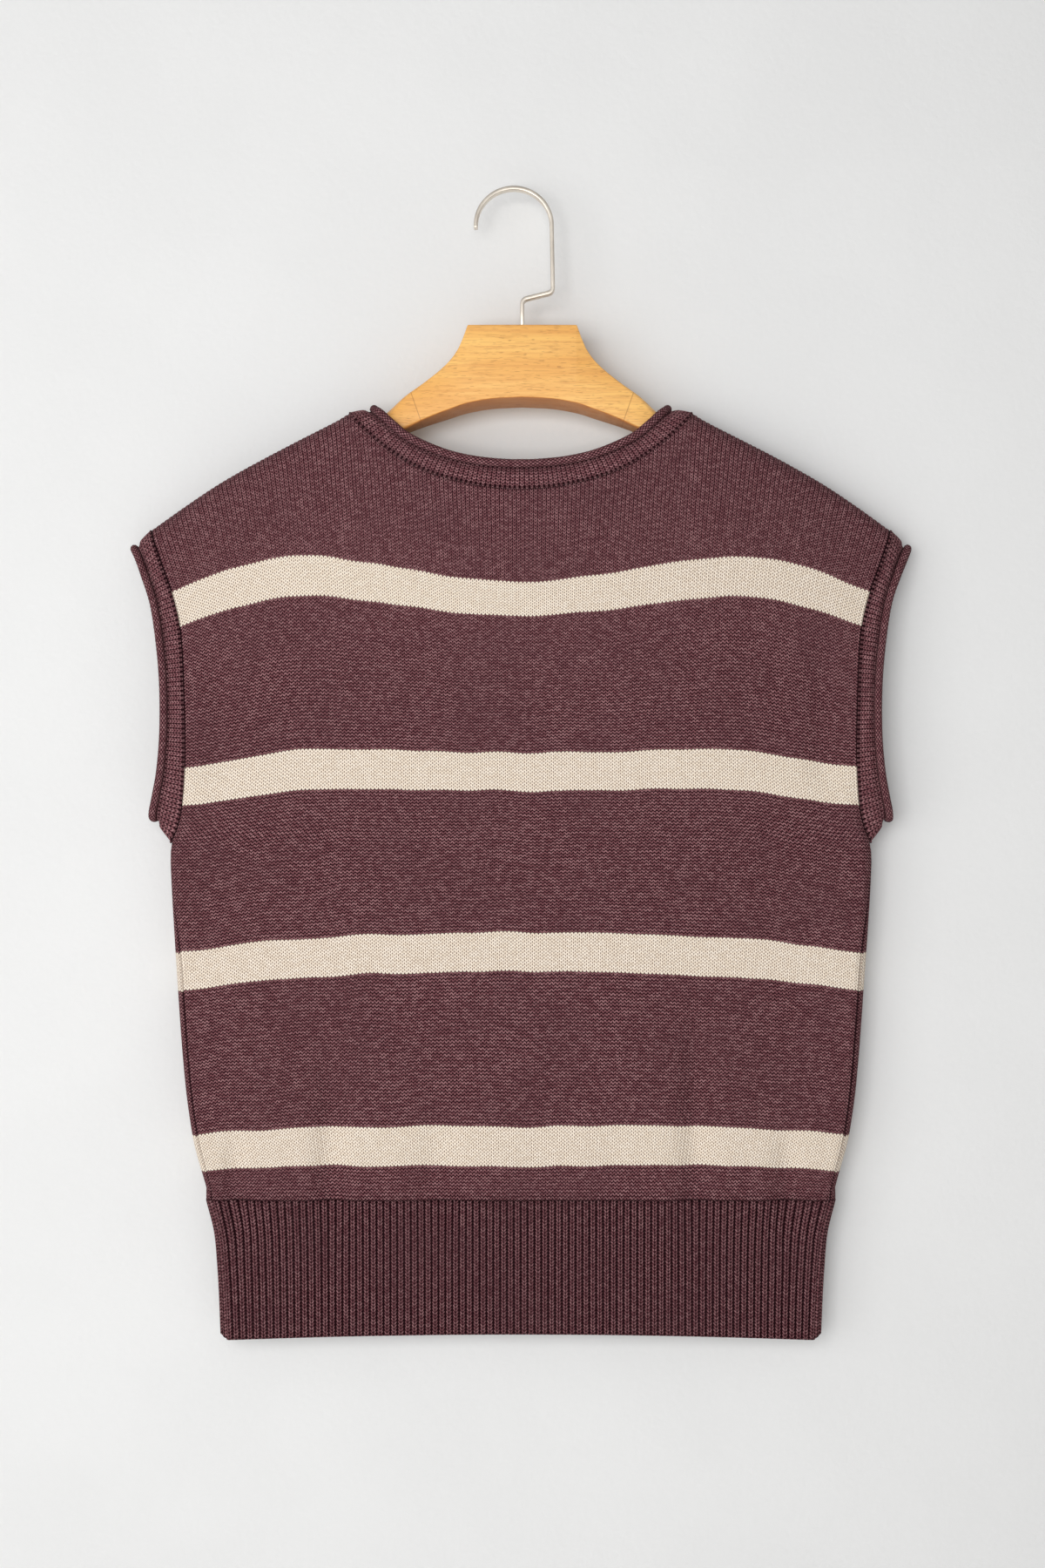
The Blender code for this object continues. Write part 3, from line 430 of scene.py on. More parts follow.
RidgeRow = namedtuple("RidgeRow", "half_width height")
RIDGE = table(
    RidgeRow,
    (0.0000, -0.0960),
    (0.0800, -0.1372),
    (0.1221, -0.1594),
    (0.1308, -0.1646),
    (0.1606, -0.1795),
    (0.1891, -0.1940),
    (0.2158, -0.2087),
    (0.2384, -0.2231),
    (0.2598, -0.2378),
    (0.2900, -0.2592),
)

NeckRow = namedtuple("NeckRow", "half_width height")
BACK_NECK_SEAM = table(
    NeckRow,
    (0.1221, -0.1594),
    (0.1159, -0.1672),
    (0.1080, -0.1750),
    (0.0992, -0.1828),
    (0.0880, -0.1911),
    (0.0750, -0.1991),
    (0.0600, -0.2055),
    (0.0440, -0.2102),
    (0.0290, -0.2134),
    (0.0143, -0.2152),
    (0.0000, -0.2158),
)
FRONT_NECK_SEAM = table(
    NeckRow,
    (0.1221, -0.1594),
    (0.1160, -0.1690),
    (0.1110, -0.1850),
    (0.1010, -0.2040),
    (0.0850, -0.2215),
    (0.0640, -0.2345),
    (0.0400, -0.2415),
    (0.0130, -0.2445),
    (0.0000, -0.2448),
)

# The yarns: two strands of plum are spun together, and so are two of cream.
PLUM_YARN = (0.196, 0.076, 0.086)
PINK_YARN = (0.360, 0.178, 0.188)
# Painted shade: the near-black plum colour in the gaps between stitches.
PLUM_GAP_SHADE = (0.016, 0.003, 0.005)
PLUM_SHADE = (0.075, 0.030, 0.036)
CREAM_YARN = (0.90, 0.775, 0.635)
PALE_YARN = (0.98, 0.87, 0.74)
# The dots in the cream's holes: partly the plum yarn behind them, partly painted shade.
CREAM_GAP_PLUM_AND_SHADE = (0.13, 0.065, 0.042)

# Soft troughs in the hanging cloth: where each runs, and how wide and deep it is.
Trough = namedtuple("Trough", "side middle low high half_width depth")
TROUGHS = table(
    Trough,
    (BACK, -0.200, -0.768, -0.655, 0.009, 0.0046),
    (BACK, -0.134, -0.772, -0.590, 0.011, 0.0060),
    (BACK, -0.058, -0.756, -0.640, 0.013, 0.0034),
    (BACK, 0.020, -0.745, -0.665, 0.015, 0.0014),
    (BACK, 0.066, -0.752, -0.630, 0.017, 0.0018),
    (BACK, 0.124, -0.772, -0.560, 0.011, 0.0060),
    (BACK, 0.189, -0.768, -0.655, 0.010, 0.0050),
    (BACK, -0.212, -0.440, -0.320, 0.012, 0.0030),
    (BACK, 0.214, -0.450, -0.300, 0.012, 0.0028),
    (FRONT, -0.170, -0.760, -0.640, 0.016, 0.0026),
    (FRONT, -0.098, -0.755, -0.600, 0.018, 0.0024),
    (FRONT, -0.018, -0.750, -0.650, 0.017, 0.0018),
    (FRONT, 0.054, -0.760, -0.615, 0.018, 0.0024),
    (FRONT, 0.112, -0.750, -0.670, 0.015, 0.0020),
    (FRONT, 0.180, -0.765, -0.640, 0.016, 0.0026),
    (FRONT, -0.205, -0.440, -0.310, 0.013, 0.0022),
    (FRONT, 0.208, -0.450, -0.320, 0.013, 0.0022),
)

# Courses are counted up from the hem. A course hangs higher over the hanger's arms than
# at the middle, and lowest at the sides.
CourseRow = namedtuple("CourseRow", "course middle arms shoulders sides ends")
COURSES = table(
    CourseRow,
    (0, -0.7172, -0.7172, -0.7172, -0.7172, -0.7172),
    (10, -0.6932, -0.6930, -0.6950, -0.6978, -0.6990),
    (22, -0.6645, -0.6659, -0.6683, -0.6714, -0.6727),
    (67, -0.5549, -0.5592, -0.5636, -0.5682, -0.5702),
    (79, -0.5276, -0.5316, -0.5363, -0.5413, -0.5434),
    (124, -0.4278, -0.4269, -0.4334, -0.4377, -0.4395),
    (136, -0.4011, -0.3985, -0.4058, -0.4108, -0.4129),
    (181, -0.3057, -0.2911, -0.2985, -0.3100, -0.3198),
    (193, -0.2821, -0.2632, -0.2703, -0.2833, -0.2944),
    (243, -0.1755, -0.1565, -0.1630, -0.1767, -0.1883),
)
COURSE_PLACES = (-0.270, -0.236, -0.200, -0.150, 0.0, 0.150, 0.200, 0.236, 0.270)
STRIPE_START, STRIPE_COURSES, STRIPE_REPEAT, LAST_STRIPE = 10, 12, 57, 200


def ease(value, low, high):
    t = np.clip((value - low) / (high - low), 0, 1)
    return t * t * (3 - 2 * t)


def openness(height):
    """0 where the side is a closed fold, 1 where the armhole is open."""
    share = np.clip((height - UNDERARM) / OPENING_GROWS, 0, 1)
    return np.sqrt(1 - (1 - share) ** 2)


def ridge_height(across):
    return smooth_read(RIDGE, "height", np.abs(across))


def ridge_up(across):
    return ridge_height(across) + (QUARTER - 1) * RIDGE_RADIUS


def up_of(across, height):
    """The place along the cloth that lies at this height."""
    base = ridge_height(across) - RIDGE_RADIUS
    bent = base + RIDGE_RADIUS * np.arcsin(np.clip((height - base) / RIDGE_RADIUS, -1, 1))
    return np.where(height <= base, height, bent)


def side_edge(height):
    fold = (QUARTER - 1) * SIDE_RADIUS * (1 - openness(height))
    return smooth_read(BODY, "half_width", height) + fold


def middle_depth(x, height):
    """How far the garment's middle plane lies from the hook's, along Y."""
    carried = LEAN * np.maximum(height, HANG_FREE_FROM) + CONTOUR * (x / ARM_REACH) ** 2
    return carried * ease(height, HANG_FREE_AT, HANG_FREE_FROM)


def trough_depth(side, x, height):
    total = np.zeros_like(x)
    for trough in TROUGHS:
        if trough.side != side:
            continue
        off = (x - trough.middle) / trough.half_width
        fade = 0.35 * (trough.high - trough.low)
        run = ease(height, trough.low, trough.low + fade)
        run = run * (1 - ease(height, trough.high - fade, trough.high))
        total = total + trough.depth * run * np.exp(-off * off)
    return total


def outer_point(side, across, up):
    """Points of the garment's outer face. across and up run along the cloth, on round the
    side folds and over the shoulder ridge."""
    across, up = np.broadcast_arrays(np.asarray(across, float), np.asarray(up, float))
    base = ridge_height(across) - RIDGE_RADIUS
    angle = np.maximum(up - base, 0) / RIDGE_RADIUS
    height = np.where(up > base, base + RIDGE_RADIUS * np.sin(angle), up)
    over_ridge = np.cos(angle)
    wide = smooth_read(BODY, "half_width", height)
    opened = openness(height)
    inner = wide - SIDE_RADIUS
    turn = np.maximum(np.abs(across) - inner, 0) / (side_edge(height) - inner)
    bent = inner + SIDE_RADIUS * (np.sin(turn * QUARTER) * (1 - opened) + turn * opened)
    x = np.where(np.abs(across) > inner, bent, np.abs(across)) * np.where(across < 0, -1, 1)
    round_side = np.cos(turn * QUARTER) * (1 - opened) + opened
    deep = smooth_read(BODY, "half_depth", height) - trough_depth(side, x, height)
    y = middle_depth(x, height) + side * deep * over_ridge * round_side
    if side == FRONT:
        lift = ease(height, UNDERARM, UNDERARM + 0.08) * ease(base - height, 0.0, 0.05)
        x = x + FAR_ARMHOLE_SHIFT * lift * ease(np.abs(x), 0.10, 0.24)
    return np.stack([x + MIDDLE, y, height], axis=-1)


def unit(vectors):
    return vectors / np.linalg.norm(vectors, axis=-1, keepdims=True)


def outward(side, across, up):
    step = 0.0002
    along = outer_point(side, across + step, up) - outer_point(side, across - step, up)
    rise = outer_point(side, across, up + step) - outer_point(side, across, up - step)
    return unit(-side * np.cross(along, rise))


def course_of(across, up):
    """Which course of knitting passes a place on a panel."""
    station = namedtuple("Station", "place height")
    lines = []
    for row in COURSES:
        half = (row.ends, row.sides, row.shoulders, row.arms)
        heights = (*half, row.middle, *reversed(half))
        stations = [station(p, h) for p, h in zip(COURSE_PLACES, heights)]
        lines.append(smooth_read(stations, "height", across))
    course = np.full(up.shape, float(COURSES[0].course))
    for low, high, a, b in zip(lines, lines[1:], COURSES, COURSES[1:]):
        share = (up - low) / (high - low)
        inside = share >= 0
        course = np.where(inside, a.course + share * (b.course - a.course), course)
    return course


tip_across = BODY[-1].half_width
for _ in range(8):
    tip_across = float(smooth_read(BODY, "half_width", ridge_height(tip_across)))
tip_up = float(ridge_up(tip_across))


def side_wrap(height):
    """How far the front is drawn round the side fold on to the back."""
    return UNDERARM_WRAP + (SIDE_WRAP - UNDERARM_WRAP) * ease(UNDERARM - height, 0.0, 0.090)


def panel_edge(side, up):
    """Distance across to a panel's side seam or armhole seam."""
    height = np.minimum(up, outer_point(side, BODY[-1].half_width, up)[..., 2])
    return side_edge(height) + side * side_wrap(height) * (1 - openness(height))


def panel_places(side, seam):
    """(across, up) places of a panel in rows, three columns to a wale."""
    c = np.linspace(-1, 1, 3 * WALES + 1)
    x = np.abs(c) * tip_across
    neck = np.abs(x) < seam[0].half_width
    head = np.where(neck, up_of(x, smooth_read(seam, "height", x)), ridge_up(x) - SEAM / 2)
    rows = []
    bend = QUARTER * RIDGE_RADIUS
    for up in np.linspace(HEM_JOIN + SEAM, NECK_ROWS_FROM, BODY_ROWS):
        rows.append((up, np.full_like(c, up)))
    for share in np.linspace(0, 1, CHEST_ROWS + 1)[1:]:
        rows.append([NECK_ROWS_FROM + share * (top - bend - NECK_ROWS_FROM)
                     for top in (tip_up, head)])
    for turn in np.linspace(1, 0, RIDGE_ROWS + 1)[1:]:
        rows.append((tip_up - turn * bend, head - turn * bend))
    across = []
    for rim, _ in rows:
        edge = c * float(panel_edge(side, rim))
        lap = SIDE_LAP * (1 - float(openness(rim))) if side == FRONT else 0.0
        edge[[0, -1]] -= np.sign(edge[[0, -1]]) * (SEAM / 2 - lap)
        across.append(edge)
    return np.array(across), np.array([ups for _, ups in rows])


def lapped(side, across, up):
    """How far a piece is sunk along its side seam."""
    reach = side_edge(up) + side_wrap(up)
    sunk = LAP_DEPTH * ease(np.abs(across), reach - LAP_START, reach - LAP_END)
    return sunk * (1 - openness(up)) * (side == FRONT)


def unevenness(points, side, across=16, down=9):
    """0 to 1, soft and slow, for cloth that never hangs quite flat. across and down say
    how often it turns in a metre."""
    flat = points.reshape(-1, 3)
    values = [noise.noise(Vector((p[0] * across, side * 4.0, p[2] * down))) for p in flat]
    return (0.5 + 0.5 * np.array(values)).reshape(points.shape[:-1])


# Scales a colour: a random tone on the plaster, painted light and shade on the knit's yarns.
def tone_and_painted_light(colour, light):
    return tuple(light * channel for channel in colour)


# The light argument scales the plum yarn's colours: painted light and shade, so that one yarn gets
# darker and lighter copies.
def knit(name, stripes=False, slant=0.62, wobble=0.14, light=1.0, purl=False, furrow=0.0,
         cleft=0.0):
    """Knitted marl. The UV map counts wales along U and courses along V. Each stitch is a
    V of two legs that lean outwards as they rise, so a course is a zigzag line, with a gap
    above it, sunk in the bump and painted in shade, deepest at each turn. A furrow takes
    that share of each wale, and a cleft darkens the middle between its legs, both with
    painted shade. On the striped panels the stitches are drawn taller towards the
    shoulders, and a dark line, partly the seam's stitches and partly painted shade, follows
    each side seam. The purl side shows small round bumps instead."""
    yarn = Nodes(name, (0.128, 0.053, 0.060), 0.90)
    yarn.put("Sheen Weight", 0.015)
    yarn.put("Sheen Roughness", 0.45)
    yarn.put("Sheen Tint", (1.0, 0.70, 0.70, 1))
    yarn.put("Specular IOR Level", 0.05)
    map_node = yarn.add("UVMap")
    map_node.uv_map = "knit"
    split = yarn.add("SeparateXYZ", Vector=map_node.outputs[0])
    shift = yarn.math("SUBTRACT", yarn.grain(1.3, where=map_node.outputs[0], detail=2.0), 0.5)
    lift = yarn.math("SUBTRACT", yarn.grain(1.7, where=map_node.outputs[0], detail=2.0,
                                            turn=(0.4, 0.9, 0.3)), 0.5)
    u = yarn.math("MULTIPLY_ADD", shift, wobble, split.outputs[0])
    v = yarn.math("MULTIPLY_ADD", lift, 2.2 * wobble, split.outputs[1])
    if purl:
        lines = []
        for operation in ("ADD", "SUBTRACT"):
            across = yarn.math("FRACT", yarn.math(operation, u, v))
            lines.append(yarn.step(yarn.away(across, 0.5), 0.14, 0.44))
        gap = yarn.math("MAXIMUM", *lines)
        turns = yarn.math("MULTIPLY", *lines)
        course = v
    else:
        off = yarn.away(yarn.math("FRACT", u), 0.5)
        spread = yarn.math("MULTIPLY", off, 2.0 / (1 - furrow), clamp=True)
        taller = yarn.step(v, 140.0, 236.0) if stripes else 0.0
        steepness = yarn.math("MULTIPLY_ADD", taller, 0.40, slant)
        rising = yarn.math("SUBTRACT", v, yarn.math("MULTIPLY", spread, steepness))
        course = yarn.math("FLOOR", rising)
        gap = yarn.step(yarn.away(yarn.math("FRACT", rising), 0.5), 0.08, 0.40)
        end = yarn.math("ABSOLUTE", yarn.math("MULTIPLY_ADD", spread, 2.0, -1.0))
        turns = yarn.math("MULTIPLY", gap, yarn.step(end, 0.10, 0.85))
        if furrow:
            ditch = yarn.step(off, 0.5 - furrow * 0.64, 0.5 - furrow * 0.30)
            ditch = yarn.math("MAXIMUM", ditch, yarn.step(off, 0.02, 0.11, cleft, 0.0))
            gap = yarn.math("MAXIMUM", yarn.math("MULTIPLY", gap, 0.75), ditch)
            turns = yarn.math("MAXIMUM", yarn.math("MULTIPLY", turns, 0.75), ditch)
        else:
            edge = yarn.math("MULTIPLY", yarn.step(spread, 0.50, 0.95), taller)
            gap = yarn.math("MULTIPLY", gap, yarn.math("MULTIPLY_ADD", taller, -0.30, 1.0))
            gap = yarn.math("MAXIMUM", gap, edge)
        if stripes:
            # A dark line along each side seam: partly the seam's own stitches, partly painted shade
            # in the seam.
            to_end = yarn.math("SUBTRACT", float(WALES), split.outputs[0])
            to_end = yarn.math("MINIMUM", split.outputs[0], to_end)
            seam_stitches_and_shade = yarn.step(to_end, 0.15, 0.64, 0.75, 0.0)
            gap = yarn.math("MAXIMUM", gap, seam_stitches_and_shade)
            seam_stitches_and_shade = yarn.math("MULTIPLY", seam_stitches_and_shade, yarn.math("MULTIPLY_ADD", gap, 0.5, 0.4))
            turns = yarn.math("MAXIMUM", turns, seam_stitches_and_shade)
    depth = yarn.math("MULTIPLY_ADD", turns, 0.50, yarn.math("MULTIPLY", gap, 0.50))
    fibres = yarn.grain(1500.0, detail=2.0)
    marl = yarn.grain(430.0, (0.60, 1.0, 1.6), detail=3.0)
    slow = yarn.grain(22.0, detail=2.0)
    fuzzy_gap_shade = yarn.math("MULTIPLY_ADD", yarn.math("SUBTRACT", fibres, 0.5), 0.30, depth)
    # Painted shade: the gaps, turns, furrows and clefts of the stitches are darkened towards the
    # gap colour.
    dark = yarn.step(fuzzy_gap_shade, 0.06, 0.66)
    bright = yarn.blend(yarn.step(marl, 0.42, 0.64), tone_and_painted_light(PLUM_YARN, light), tone_and_painted_light(PINK_YARN, light))
    plum = yarn.blend(dark, bright, tone_and_painted_light(PLUM_GAP_SHADE, light))
    plum = yarn.blend(yarn.step(slow, 0.35, 0.7, 0.0, 0.16), plum, tone_and_painted_light(PLUM_SHADE, light))
    colour = plum
    if stripes:
        pale = yarn.blend(yarn.step(marl, 0.40, 0.62), CREAM_YARN, PALE_YARN)
        # Dots at the turns of the cream stitches: plum yarn seen through the holes, with painted
        # shade in them.
        spots = yarn.math("MULTIPLY_ADD", turns, 0.84, yarn.math("MULTIPLY", dark, 0.06))
        cream = yarn.blend(spots, pale, CREAM_GAP_PLUM_AND_SHADE)
        start = yarn.math("SUBTRACT", course, float(STRIPE_START))
        place = yarn.math("FLOORED_MODULO", start, float(STRIPE_REPEAT))
        inside = yarn.math("LESS_THAN", place, STRIPE_COURSES - 0.5)
        inside = yarn.math("MULTIPLY", inside, yarn.math("LESS_THAN", course, LAST_STRIPE))
        colour = yarn.blend(inside, plum, cream)
    yarn.put("Base Color", colour)
    rise = yarn.math("MULTIPLY_ADD", fibres, 0.12, yarn.math("SUBTRACT", 1.0, depth))
    yarn.relief(rise, 0.0005, 0.6)
    return yarn.material


def face_out(data, side):
    if data.polygons[len(data.polygons) // 2].normal.y * side < 0:
        data.flip_normals()


def place_cloth(name, data, material, thickness):
    """A piece of cloth: its outer face, given a wall inwards."""
    piece = place_piece(name, data, material)
    wall = piece.modifiers.new("wall", "SOLIDIFY")
    wall.thickness = thickness
    wall.offset = -1
    return piece


def make_panel(name, side, seam, material):
    across, up = panel_places(side, seam)
    points = outer_point(side, across, up)
    normals = outward(side, across, up)
    column = np.arange(across.shape[1])
    inside = np.where(column % 3 == 0, WALE_GROOVE, 0.0) + UNEVEN * unevenness(points, side)
    inside = inside + lapped(side, across, np.minimum(up, BODY[-1].height))
    above = up - HEM_JOIN
    drawn_in = ease(above, 0.0, PUCKER_FADE) * ease(above, PUCKER_END, PUCKER_FULL)
    inside = inside + PUCKER * drawn_in * unevenness(points, side, 75, 5)
    drawn = DRAWN * (unevenness(points, side, 34, 7) - 0.5) * ease(up, HEM_JOIN, DRAWN_FROM)
    course = course_of(across, up + drawn)
    uvs = np.stack([np.broadcast_to(column / 3, across.shape), course], axis=-1)
    data = woven_grid(name, points - inside[..., None] * normals, uvs)
    face_out(data, side)
    return place_cloth(name, data, material, CLOTH)


striped_knit = knit("striped_plum_knit", stripes=True)
back = make_panel("back_striped_knit", BACK, BACK_NECK_SEAM, striped_knit)
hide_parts("back_panel")
front = make_panel("front_striped_knit", FRONT, FRONT_NECK_SEAM, striped_knit)
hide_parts("front_panel")

# ---------------------------------------------------------------- the ribbed hem
# One-and-one rib, knitted in one with each panel: 86 raised wales a side with deep
# furrows between them, cast off at the bottom in a firm edge.
RIBS_A_SIDE = 86
RIB_STEPS = 8  # columns to a rib
RIB_CLOTH = 0.0012
RIB_ROWS = 24
HEM_RISE = 0.0040  # the middle of the hem hangs this much higher than its corners,
CORNER_LIFT = 0.0032  # and its very corners are rounded off by this much,
CORNER_FROM = 0.2060  # from this far out
RIB_FAN = 7  # the higher, the fewer ribs at each side slant out to the panel's width
CAST_OFF = 0.03  # share of the hem's height in which the ribs run out at its edge
RIB_FORM = (0.0016, 0.00080, 0.00012, 0.0, 0.00026, 0.0, 0.00012, 0.00080)
RIB_COURSES = 42


def make_hem(name, side, material):
    columns = RIBS_A_SIDE * RIB_STEPS
    share = np.linspace(-1, 1, columns + 1)
    high = HEM_JOIN - SEAM / 2
    low = BODY[0].height + HEM_RISE * (1 - share ** 2)
    foot = outer_point(side, share * (side_edge(low) + side * SIDE_WRAP), low)[..., 0] - MIDDLE
    low = low + CORNER_LIFT * ease(np.abs(foot), CORNER_FROM, BODY[0].half_width) ** 2
    levels = np.linspace(0, 1, RIB_ROWS)[:, None]
    up = low * (1 - levels) + high * levels
    foot_edge = side_edge(BODY[0].height) + side * SIDE_WRAP - SEAM / 2
    foot_edge += SIDE_LAP * (side == FRONT)
    across = share * foot_edge + share ** RIB_FAN * (side_edge(up) - side_edge(BODY[0].height))
    form = np.array([RIB_FORM[k % RIB_STEPS] for k in range(columns + 1)])
    cast_off = 1 - 0.75 * (1 - ease(levels, 0.0, CAST_OFF))
    inside = form * cast_off + 0.0004 * unevenness(outer_point(side, across, up), side)
    inside = inside + lapped(side, across, up)
    points = outer_point(side, across, up) - inside[..., None] * outward(side, across, up)
    uvs = np.stack(np.broadcast_arrays(
        np.arange(columns + 1) / RIB_STEPS, levels * RIB_COURSES), axis=-1)
    data = woven_grid(name, points, uvs)
    face_out(data, side)
    return place_cloth(name, data, material, RIB_CLOTH)


# Painted shade: the rib's colours are made a fifth darker, for the shade in its furrows.
rib_knit = knit("plum_rib_knit", light=0.80, slant=0.8, furrow=0.20, cleft=0.55)
back_hem = make_hem("back_rib_hem", BACK, rib_knit)
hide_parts("back_hem_rib")
front_hem = make_hem("front_rib_hem", FRONT, rib_knit)
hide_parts("front_hem_rib")

# ---------------------------------------------------------------- the neck band
# A narrow band knitted outwards from the neckline, linked on with a row of chained loops,
# and left to roll over at its free edge, so that the roll shows the purl side.
BAND_CLOTH = 0.0012
BAND_DEPTH = 0.0024
NECK_WALES = 182
NECK_ROLL = 0.0030
ROLL_LEAN = 0.0008
BAND_FORM = (0.00055, 0.00014, 0.0, 0.00014)
BAND_BELLY = 0.0005
BAND_ROWS = 12
TUCKED = 0.0012  # how far the band runs on under the roll,
GROOVE = 0.0020  # and how deep it dips there
BAND_COURSE = 0.0022
LOOP_YARN = 0.00055  # radius of the linking yarn,
LOOP_RISE = 0.0007  # how far up the band it lies,
LOOP_SWING = 0.0008  # and how far it swings up and down
LOOP_PROUD = 0.0003
NECK_READS, NECK_STATIONS = 121, 110  # on each half of a neckline
NECK_CROWDING = 1.3  # above 1, the stations stand closer towards the shoulder
LINE_SAMPLES = 1600
SMOOTHINGS = 30
SQUARE_SHARE, EVEN_SHARE = 0.8, 0.2
BACK_NECK_ROLL = table(
    NeckRow,
    (0.1074, -0.1568),
    (0.1030, -0.1614),
    (0.0932, -0.1714),
    (0.0815, -0.1810),
    (0.0655, -0.1891),
    (0.0490, -0.1951),
    (0.0300, -0.1991),
    (0.0100, -0.2010),
    (0.0000, -0.2011),
)
FRONT_NECK_ROLL = table(
    NeckRow,
    (0.1074, -0.1568),
    (0.1032, -0.1640),
    (0.0960, -0.1800),
    (0.0870, -0.1965),
    (0.0730, -0.2110),
    (0.0550, -0.2225),
    (0.0340, -0.2285),
    (0.0110, -0.2307),
    (0.0000, -0.2308),
)
Hoop = namedtuple("Hoop", "seam top seam_out")


def lengths_of(points):
    steps = np.linalg.norm(np.diff(points, axis=0), axis=1)
    return np.concatenate([[0.0], np.cumsum(steps)])


def along_line(points, shares):
    lengths = lengths_of(points)
    at = np.asarray(shares) * lengths[-1]
    return np.stack([np.interp(at, lengths, points[:, k]) for k in range(points.shape[1])], -1)


def curve_through(points, steps=12):
    """A smooth line through a few points."""
    line = []
    for i in range(len(points) - 1):
        a, b = points[i], points[i + 1]
        before, after = points[max(i - 1, 0)], points[min(i + 2, len(points) - 1)]
        for k in range(steps):
            t = k / steps
            line.append(
                a * (1 + 2 * t) * (1 - t) ** 2 + (b - before) / 2 * t * (1 - t) ** 2
                + b * t * t * (3 - 2 * t) + (after - a) / 2 * t * t * (t - 1)
            )
    return np.array(line + [points[-1]])


def straight_across(line, seam):
    """The points of a line that lie across from a seam's points, most of the way square
    to it and a little way evenly spread."""
    line = along_line(line, np.linspace(0, 1, LINE_SAMPLES))
    lengths, even = lengths_of(line), lengths_of(seam)
    gaps = np.linalg.norm(seam[:, None] - line[None], axis=2)
    nearest = np.maximum.accumulate(lengths[np.argmin(gaps, axis=1)]) / lengths[-1]
    nearest[0], nearest[-1] = 0.0, 1.0
    for _ in range(SMOOTHINGS):
        nearest[1:-1] = (nearest[:-2] + 2 * nearest[1:-1] + nearest[2:]) / 4
    return along_line(line, SQUARE_SHARE * nearest + EVEN_SHARE * even / even[-1])


def neck_half(side, seam, roll):
    """One side's seam points, roll points and normals, from the left shoulder to the right."""
    spot = namedtuple("Spot", "length half_width height")
    length, spots = 0.0, []
    for before, row in zip((seam[0], *seam), seam):
        length += math.dist(before, row)
        spots.append(spot(length, *row))
    at = length * (1 - np.linspace(0, 1, NECK_READS))
    across = smooth_read(spots, "half_width", at)
    up = up_of(across, smooth_read(spots, "height", at))
    up[-1] = ridge_up(across[-1])
    fine = 1 - (1 - np.linspace(0, 1, NECK_STATIONS)) ** NECK_CROWDING
    half = along_line(np.stack([across, up], -1), fine)
    places = np.concatenate([half[::-1] * (-1, 1), half[1:]])
    line = []
    for row in roll:
        drop = min((roll[0].height - row.height) / RIDGE_RADIUS, 1.0)
        deep = float(smooth_read(BODY, "half_depth", row.height)) - BAND_DEPTH / 2
        y = float(middle_depth(row.half_width, row.height))
        y += side * deep * math.sqrt(1 - (1 - drop) ** 2)
        line.append(np.array((row.half_width, y, row.height)))
    right = curve_through(line)
    line = np.concatenate([right * (-1, 1, 1), right[::-1][1:]]) + (MIDDLE, 0, 0)
    across, up = places.T
    seam_points = outer_point(side, across, up)
    return seam_points, straight_across(line, seam_points), outward(side, across, up)


def close_hoop(back_half, front_half):
    return Hoop(*(np.concatenate([b, f[::-1][1:-1]]) for b, f in zip(back_half, front_half)))


def hoop_stations(hoop, count):
    """count stations evenly round a hoop, the first repeated at the end: points at the
    seam and the top, and directions out of the cloth and up it, square to the hoop."""
    seam_run, top_run = (
        unit(np.roll(line, -1, 0) - np.roll(line, 1, 0)) for line in (hoop.seam, hoop.top)
    )
    rise = hoop.top - hoop.seam

    def square_to(vectors, run):
        return unit(vectors - (vectors * run).sum(-1, keepdims=True) * run)

    seam_up = square_to(square_to(rise, seam_run), hoop.seam_out)
    top_up = square_to(rise, top_run)
    top_out = np.cross(top_run, top_up)
    top_out *= np.sign((top_out * hoop.seam_out).sum(-1, keepdims=True))
    lines = (hoop.seam, hoop.top, hoop.seam_out, top_out, seam_up, top_up)
    closed = [np.concatenate([line, line[:1]]) for line in lines]
    lengths = (lengths_of(closed[0]) + lengths_of(closed[1])) / 2
    at = np.linspace(0, lengths[-1], count + 1)
    found = [np.stack([np.interp(at, lengths, line[:, k]) for k in range(3)], -1)
             for line in closed]
    return [*found[:2], *(unit(line) for line in found[2:])]


def turned_out(data, outs, points):
    """Faces turned so that the first one looks the way the wall faces."""
    middle = data.polygons[0].center
    nearest = np.argmin(np.linalg.norm(points.reshape(-1, 3) - np.array(middle), axis=1))
    if Vector(outs.reshape(-1, 3)[nearest]).dot(data.polygons[0].normal) < 0:
        data.flip_normals()


def make_band(name, hoop, wales, material):
    """The band's wall from the seam to the foot of the roll, each wale raised."""
    steps = len(BAND_FORM)
    seam, top, seam_out, top_out, seam_up, top_up = hoop_stations(hoop, wales * steps)
    low = seam + SEAM * seam_up
    top = top + TUCKED * top_up
    levels = np.linspace(0, 1, BAND_ROWS)[:, None, None]
    outs = unit(seam_out * (1 - levels) + top_out * levels)
    form = np.array([BAND_FORM[k % steps] for k in range(wales * steps + 1)])[None, :, None]
    out = BAND_BELLY * np.sin(levels * math.pi) - form - GROOVE * ease(levels, 0.66, 0.92)
    points = low * (1 - levels) + top * levels + out * outs
    width = np.linalg.norm(top - low, axis=1).mean()
    uvs = np.stack(np.broadcast_arrays(
        np.arange(wales * steps + 1)[None, :] / steps, levels[..., 0] * width / BAND_COURSE), -1)
    data = woven_grid(name, points, uvs, closed_rows=True)
    turned_out(data, outs, points)
    return place_cloth(name, data, material, BAND_CLOTH)


